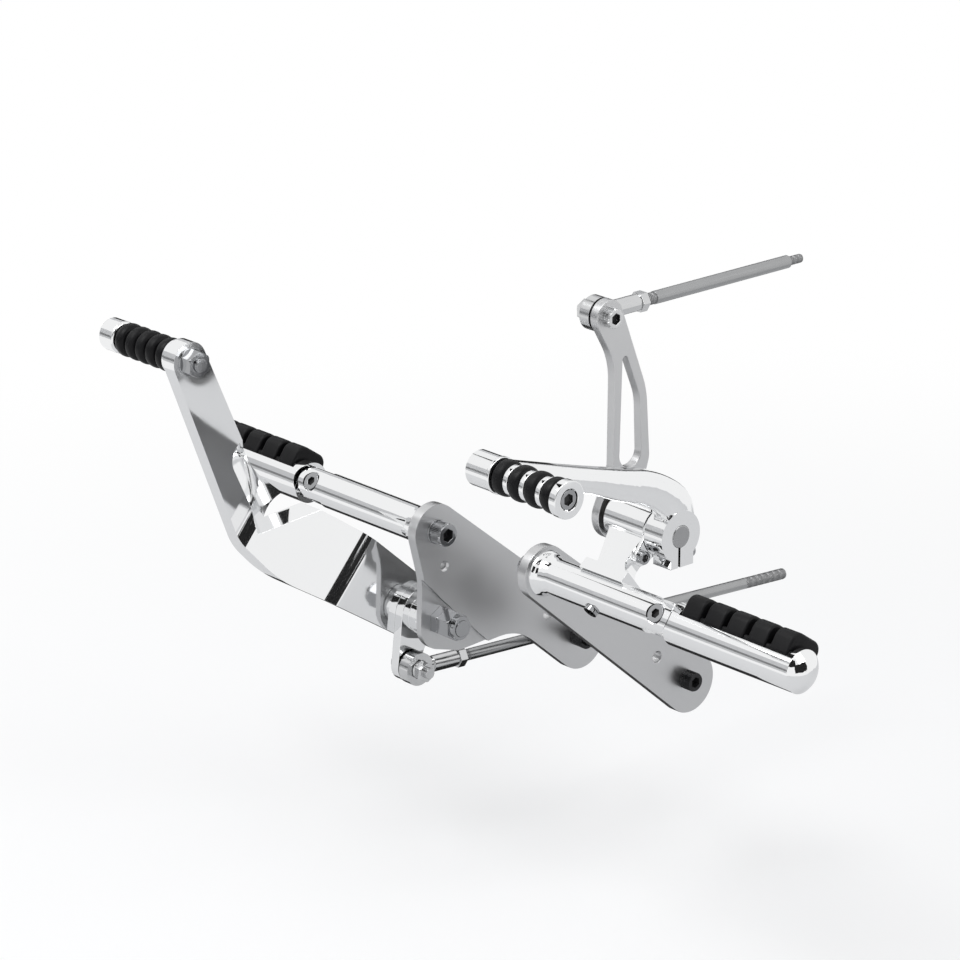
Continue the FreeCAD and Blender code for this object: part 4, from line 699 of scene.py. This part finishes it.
ring_of_ridges, knurl_inputs = knurl_tree()
print("inputs of a knurl:", list(knurl_inputs))

# %% [markdown]
# Each ridge tapers off towards both ends of the head, as the knurling wheel leaves it. Its back
# sinks a little into the head, so that no gap shows. Only the five heads that show are knurled.

# %% Knurl the screw heads that show
KNURL_DEPTH, KNURL_BACK, KNURL_SINK = 0.42, -0.2, 0.02  # mm
KNURL_FILL = 0.8  # of the room that each ridge has


def ridge_mesh(name, height, width):
    """A slim three-sided ridge that stands up along Z and points along X."""
    half = width / 2 * MM
    work = bmesh.new()
    rows = []
    for z, lift in ((0.3, 0.25), (0.8, 1.0), (height - 0.8, 1.0), (height - 0.3, 0.25)):
        rows.append([work.verts.new(p) for p in ((KNURL_BACK * MM, -half, z * MM),
                                                 (KNURL_DEPTH * lift * MM, 0.0, z * MM),
                                                 (KNURL_BACK * MM, half, z * MM))])
    for low, high in zip(rows, rows[1:]):
        for i in range(3):
            work.faces.new((low[i], low[(i + 1) % 3], high[(i + 1) % 3], high[i]))
    work.faces.new(rows[0][::-1])
    work.faces.new(rows[-1])
    bmesh.ops.recalc_face_normals(work, faces=work.faces)
    return plain_mesh(name, work)


knurled = [  # screw, end of its box where the head is, head radius, head height, ridges, finish
    ("shift_support_screw", -1, 8.0, 11.0, 44, "chrome_screw"),
    ("brake_support_screw", 1, 8.0, 11.0, 44, "chrome_screw"),
    ("shift_frame_bolt", 1, 6.5, 10.0, 36, "black_oxide"),
    ("brake_rod_end_bolt", -1, 6.5, 6.0, 36, "steel_turned"),
    ("shift_rod_end_bolt", 1, 6.5, 6.0, 36, "steel_turned"),
]
for node, end, radius, height, count, finish in knurled:
    low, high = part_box(node)
    middle = (low + high) / 2
    x = low.x if end < 0 else high.x - height * MM
    width = KNURL_FILL * 2 * math.pi * radius / count
    knurl = grown(node + "_knurl", ridge_mesh(node + "_ridge", height, width),
                  ring_of_ridges, knurl_inputs,
                  {"Count": count, "Radius": (radius - KNURL_SINK) * MM,
                   "Start": (x, middle.y, middle.z), "Turn": ALONG_X,
                   "Finish": finishes[finish]}, 25.0)
    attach(knurl, body_of_node[node])
print("knurled heads:", len(knurled))

# %% [markdown]
# The studio. Chrome shows its surroundings, so the surroundings are the picture. The floor is
# pale, takes the soft shadow, and glows towards its edges until it meets the white sky. It lies
# well below the set, which hangs as if on its motorbike, because the brake rod's free end can
# swing down that far. The glow is seen by the camera and by mirrors only.

# %% Floor
ROD_SWING = 106.0 * MM
FLOOR_REACH = 30.0
GLOW_NEAR, GLOW_FAR = 0.42, 1.0
floor_height = solid_low.z - ROD_SWING


def flat_mesh(name, low, high, height):
    """A level rectangle between two corners, at a height."""
    mesh = bpy.data.meshes.new(name)
    corners = ((low[0], low[1]), (high[0], low[1]), (high[0], high[1]), (low[0], high[1]))
    mesh.from_pydata([(x, y, height) for x, y in corners], [], [(0, 1, 2, 3)])
    return mesh


def seen_by(tree, kinds):
    """A value that is one for the named kinds of ray, and zero for the others."""
    rays = tree.nodes.new("ShaderNodeLightPath")
    seen = rays.outputs[kinds[0]]
    for kind in kinds[1:]:
        either = tree.nodes.new("ShaderNodeMath")
        either.operation = "MAXIMUM"
        tree.links.new(seen, either.inputs[0])
        tree.links.new(rays.outputs[kind], either.inputs[1])
        seen = either.outputs["Value"]
    return seen


tree, shader, place = new_finish("studio_floor", (0.93, 0.93, 0.93), 0.0, 0.9)
shader.inputs["Specular IOR Level"].default_value = 0.0
glow = tree.nodes.new("ShaderNodeEmission")
glow.inputs["Strength"].default_value = 1.0
away = tree.nodes.new("ShaderNodeVectorMath")
away.operation = "LENGTH"
share = tree.nodes.new("ShaderNodeMath")
share.operation = "MULTIPLY"
blend = tree.nodes.new("ShaderNodeMixShader")
tree.links.new(place, away.inputs[0])
tree.links.new(seen_by(tree, ("Is Camera Ray", "Is Glossy Ray")), share.inputs[0])
tree.links.new(spread(tree, away.outputs["Value"], GLOW_NEAR, GLOW_FAR, 0.30, 1.3),
               share.inputs[1])
wire(tree, [(share, "Value", blend, "Fac"), (shader, "BSDF", blend, 1),
            (glow, "Emission", blend, 2),
            (blend, "Shader", tree.nodes["Material Output"], "Surface")])
floor_mesh = flat_mesh("studio_floor", (-FLOOR_REACH, -FLOOR_REACH), (FLOOR_REACH, FLOOR_REACH),
                       floor_height)
floor_mesh.materials.append(finishes["studio_floor"])
floor = placed("studio_floor", floor_mesh)
floor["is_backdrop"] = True
print("floor at", round(1000 * floor_height, 1), "mm")

# %% [markdown]
# The sky is plain white to the camera, to mirrors and through anything clear, as the paper behind
# a product picture is. As a light it is a little dimmer, so that pale surfaces keep their tone.

# %% Sky
sky = bpy.data.worlds.new("studio_sky")
bpy.context.scene.world = sky
sky.use_nodes = True
tree = sky.node_tree
soft = tree.nodes["Background"]
soft.inputs["Color"].default_value = (0.72, 0.73, 0.75, 1.0)
soft.inputs["Strength"].default_value = 0.8
white = tree.nodes.new("ShaderNodeBackground")
white.inputs["Color"].default_value = (1.0, 1.0, 1.0, 1.0)
mix = tree.nodes.new("ShaderNodeMixShader")
tree.links.new(seen_by(tree, ("Is Camera Ray", "Is Glossy Ray", "Is Transmission Ray")),
               mix.inputs["Fac"])
wire(tree, [(soft, "Background", mix, 1), (white, "Background", mix, 2),
            (mix, "Shader", tree.nodes["World Output"], "Surface")])
print("sky:", sky.name)

# %% [markdown]
# Cards and mats. A polished tube in an all-white room would vanish. Photographers stand black and
# grey cards just out of view, and their reflections draw the dark streaks and rims that tell an
# eye that a surface is polished. Here each card stands in a direction given in degrees, seen from
# the set's middle, and mats lie on the floor. Only mirrors see them, and they are part of the
# stage and not of the object.

# %% Paints for cards, and how one is hidden
for paint, level in (("black_card", 0.006), ("smoke_card", 0.26), ("grey_card", 0.72),
                     ("pale_card", 0.66)):
    new_finish(paint, (level, level, level), 0.0, 0.9)
centre = (solid_low + solid_high) / 2


def toward(azimuth, elevation):
    """A direction from two angles in degrees. Azimuth 0 is ahead of the set, and 90 is +X."""
    a, e = math.radians(azimuth), math.radians(elevation)
    return Vector((math.sin(a) * math.cos(e), -math.cos(a) * math.cos(e), math.sin(e)))


def mirrors_only(name, mesh, paint):
    """Puts a card or mat in the studio that only mirrors see."""
    mesh.materials.append(finishes[paint])
    card = placed(name, mesh)
    card.visible_camera = False
    card.visible_diffuse = False
    card.visible_shadow = False
    card.visible_transmission = False
    card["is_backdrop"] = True


print("middle of the set in mm:", [round(1000 * v) for v in centre])

# %% [markdown]
# The cards on the camera's side give the lever's bends their black bands. The low ones on the
# left, each before a paler and larger halo, give the tubes a dark core with a soft border. The
# mats give the flat faces their grey and draw thin dark lines along the tubes' rims.

# %% Stand the cards and lay the mats
cards = [  # name, azimuth, elevation, distance, width, height, roll, paint
    ("card_front_left", 318.0, 4.0, 2.0, 2.6, 0.26, 0.0, "smoke_card"),
    ("card_behind_left", 228.0, 6.0, 2.0, 2.2, 0.70, 0.0, "black_card"),
    ("card_high_left", 290.0, 56.0, 2.2, 1.0, 0.40, 0.0, "black_card"),
    ("card_high", 60.0, 64.0, 2.2, 2.2, 0.30, 20.0, "black_card"),
    ("card_right_of_camera", 92.0, 6.0, 2.4, 2.0, 1.3, 0.0, "black_card"),
    ("card_above_camera", 60.0, 26.0, 2.6, 1.3, 1.0, 0.0, "black_card"),
    ("card_over_camera", 47.0, 42.0, 2.6, 0.9, 0.6, 0.0, "black_card"),
    ("halo_front_left", 318.0, 8.0, 2.1, 3.0, 1.1, 0.0, "pale_card"),
    ("halo_behind_left", 228.0, 12.0, 2.1, 2.8, 1.5, 0.0, "pale_card"),
    ("card_left_of_camera", 11.0, 23.0, 2.4, 0.95, 1.1, -8.0, "black_card"),
]
for name, azimuth, elevation, distance, width, height, roll, paint in cards:
    out = toward(azimuth, elevation)
    stand = (out.to_track_quat("Z", "Y").to_matrix().to_4x4()
             @ Matrix.Rotation(math.radians(roll), 4, "Z"))
    stand.translation = centre + out * distance
    card_mesh = flat_mesh(name, (-width / 2, -height / 2), (width / 2, height / 2), 0.0)
    card_mesh.transform(stand)
    mirrors_only(name, card_mesh, paint)

mats = [  # name, two corners in metres, lift above the floor in mm, paint
    ("mat_under", (-0.7, -0.8), (1.0, 0.9), 0.2, "grey_card"),
    ("mat_below_left", (-0.70, -0.10), (0.02, 0.13), 0.3, "black_card"),
    ("mat_behind_left", (-1.1, 0.16), (-0.25, 0.62), 0.4, "black_card"),
]
for name, low, high, lift, paint in mats:
    mirrors_only(name, flat_mesh(name, low, high, floor_height + lift * MM), paint)
print("cards:", len(cards), "mats:", len(mats))

# %% [markdown]
# Light: a wide soft panel above and to the left makes the main light and the soft shadow below,
# and a weaker one on the right fills in. The camera is set where the picture was taken from: its
# place and lens were worked out from the bolts, rods and plate edges, whose sizes are known.

# %% Lamps and camera
def soft_panel(name, place, size, watts):
    """A lamp beside the set's middle that faces it."""
    lamp = bpy.data.lights.new(name, "AREA")
    lamp.shape = "RECTANGLE"
    lamp.size, lamp.size_y = size
    lamp.energy = watts
    panel = placed(name, lamp)
    panel.location = centre + Vector(place)
    panel.rotation_euler = (-Vector(place)).to_track_quat("-Z", "Y").to_euler()


soft_panel("main_panel", (-0.6, -1.2, 2.2), (1.8, 1.4), 34.0)
soft_panel("fill_panel", (2.0, 0.4, 1.4), (1.2, 1.2), 12.0)

CAMERA_AZIMUTH, CAMERA_ELEVATION = 48.03, 19.33
CAMERA_FROM_PEGS = Vector((2064.0, -1862.7, 1026.8)) * MM
camera_data = bpy.data.cameras.new("picture_camera")
camera_data.sensor_width = 36.0
camera_data.lens = 161.0
camera_data.clip_end = 50.0
camera = placed("picture_camera", camera_data)
camera.location = PEG_AXIS + CAMERA_FROM_PEGS
camera.rotation_euler = (
    -toward(CAMERA_AZIMUTH, CAMERA_ELEVATION)).to_track_quat("-Z", "Y").to_euler()
bpy.context.scene.camera = camera
bpy.context.scene.view_settings.view_transform = "Standard"
print("camera", round((camera.location - centre).length, 2), "m from the middle of the set")

# %% [markdown]
# A last look at the measures: the dressed set may not grow past its solids, since those are what
# the library fits and tests.

# %% Compare the dressed set with the solids, and finish
dressed_low, dressed_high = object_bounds()
growth = (*(solid_low - dressed_low), *(dressed_high - solid_high))
print("grew by, in mm:", [round(1000 * v, 2) for v in growth])
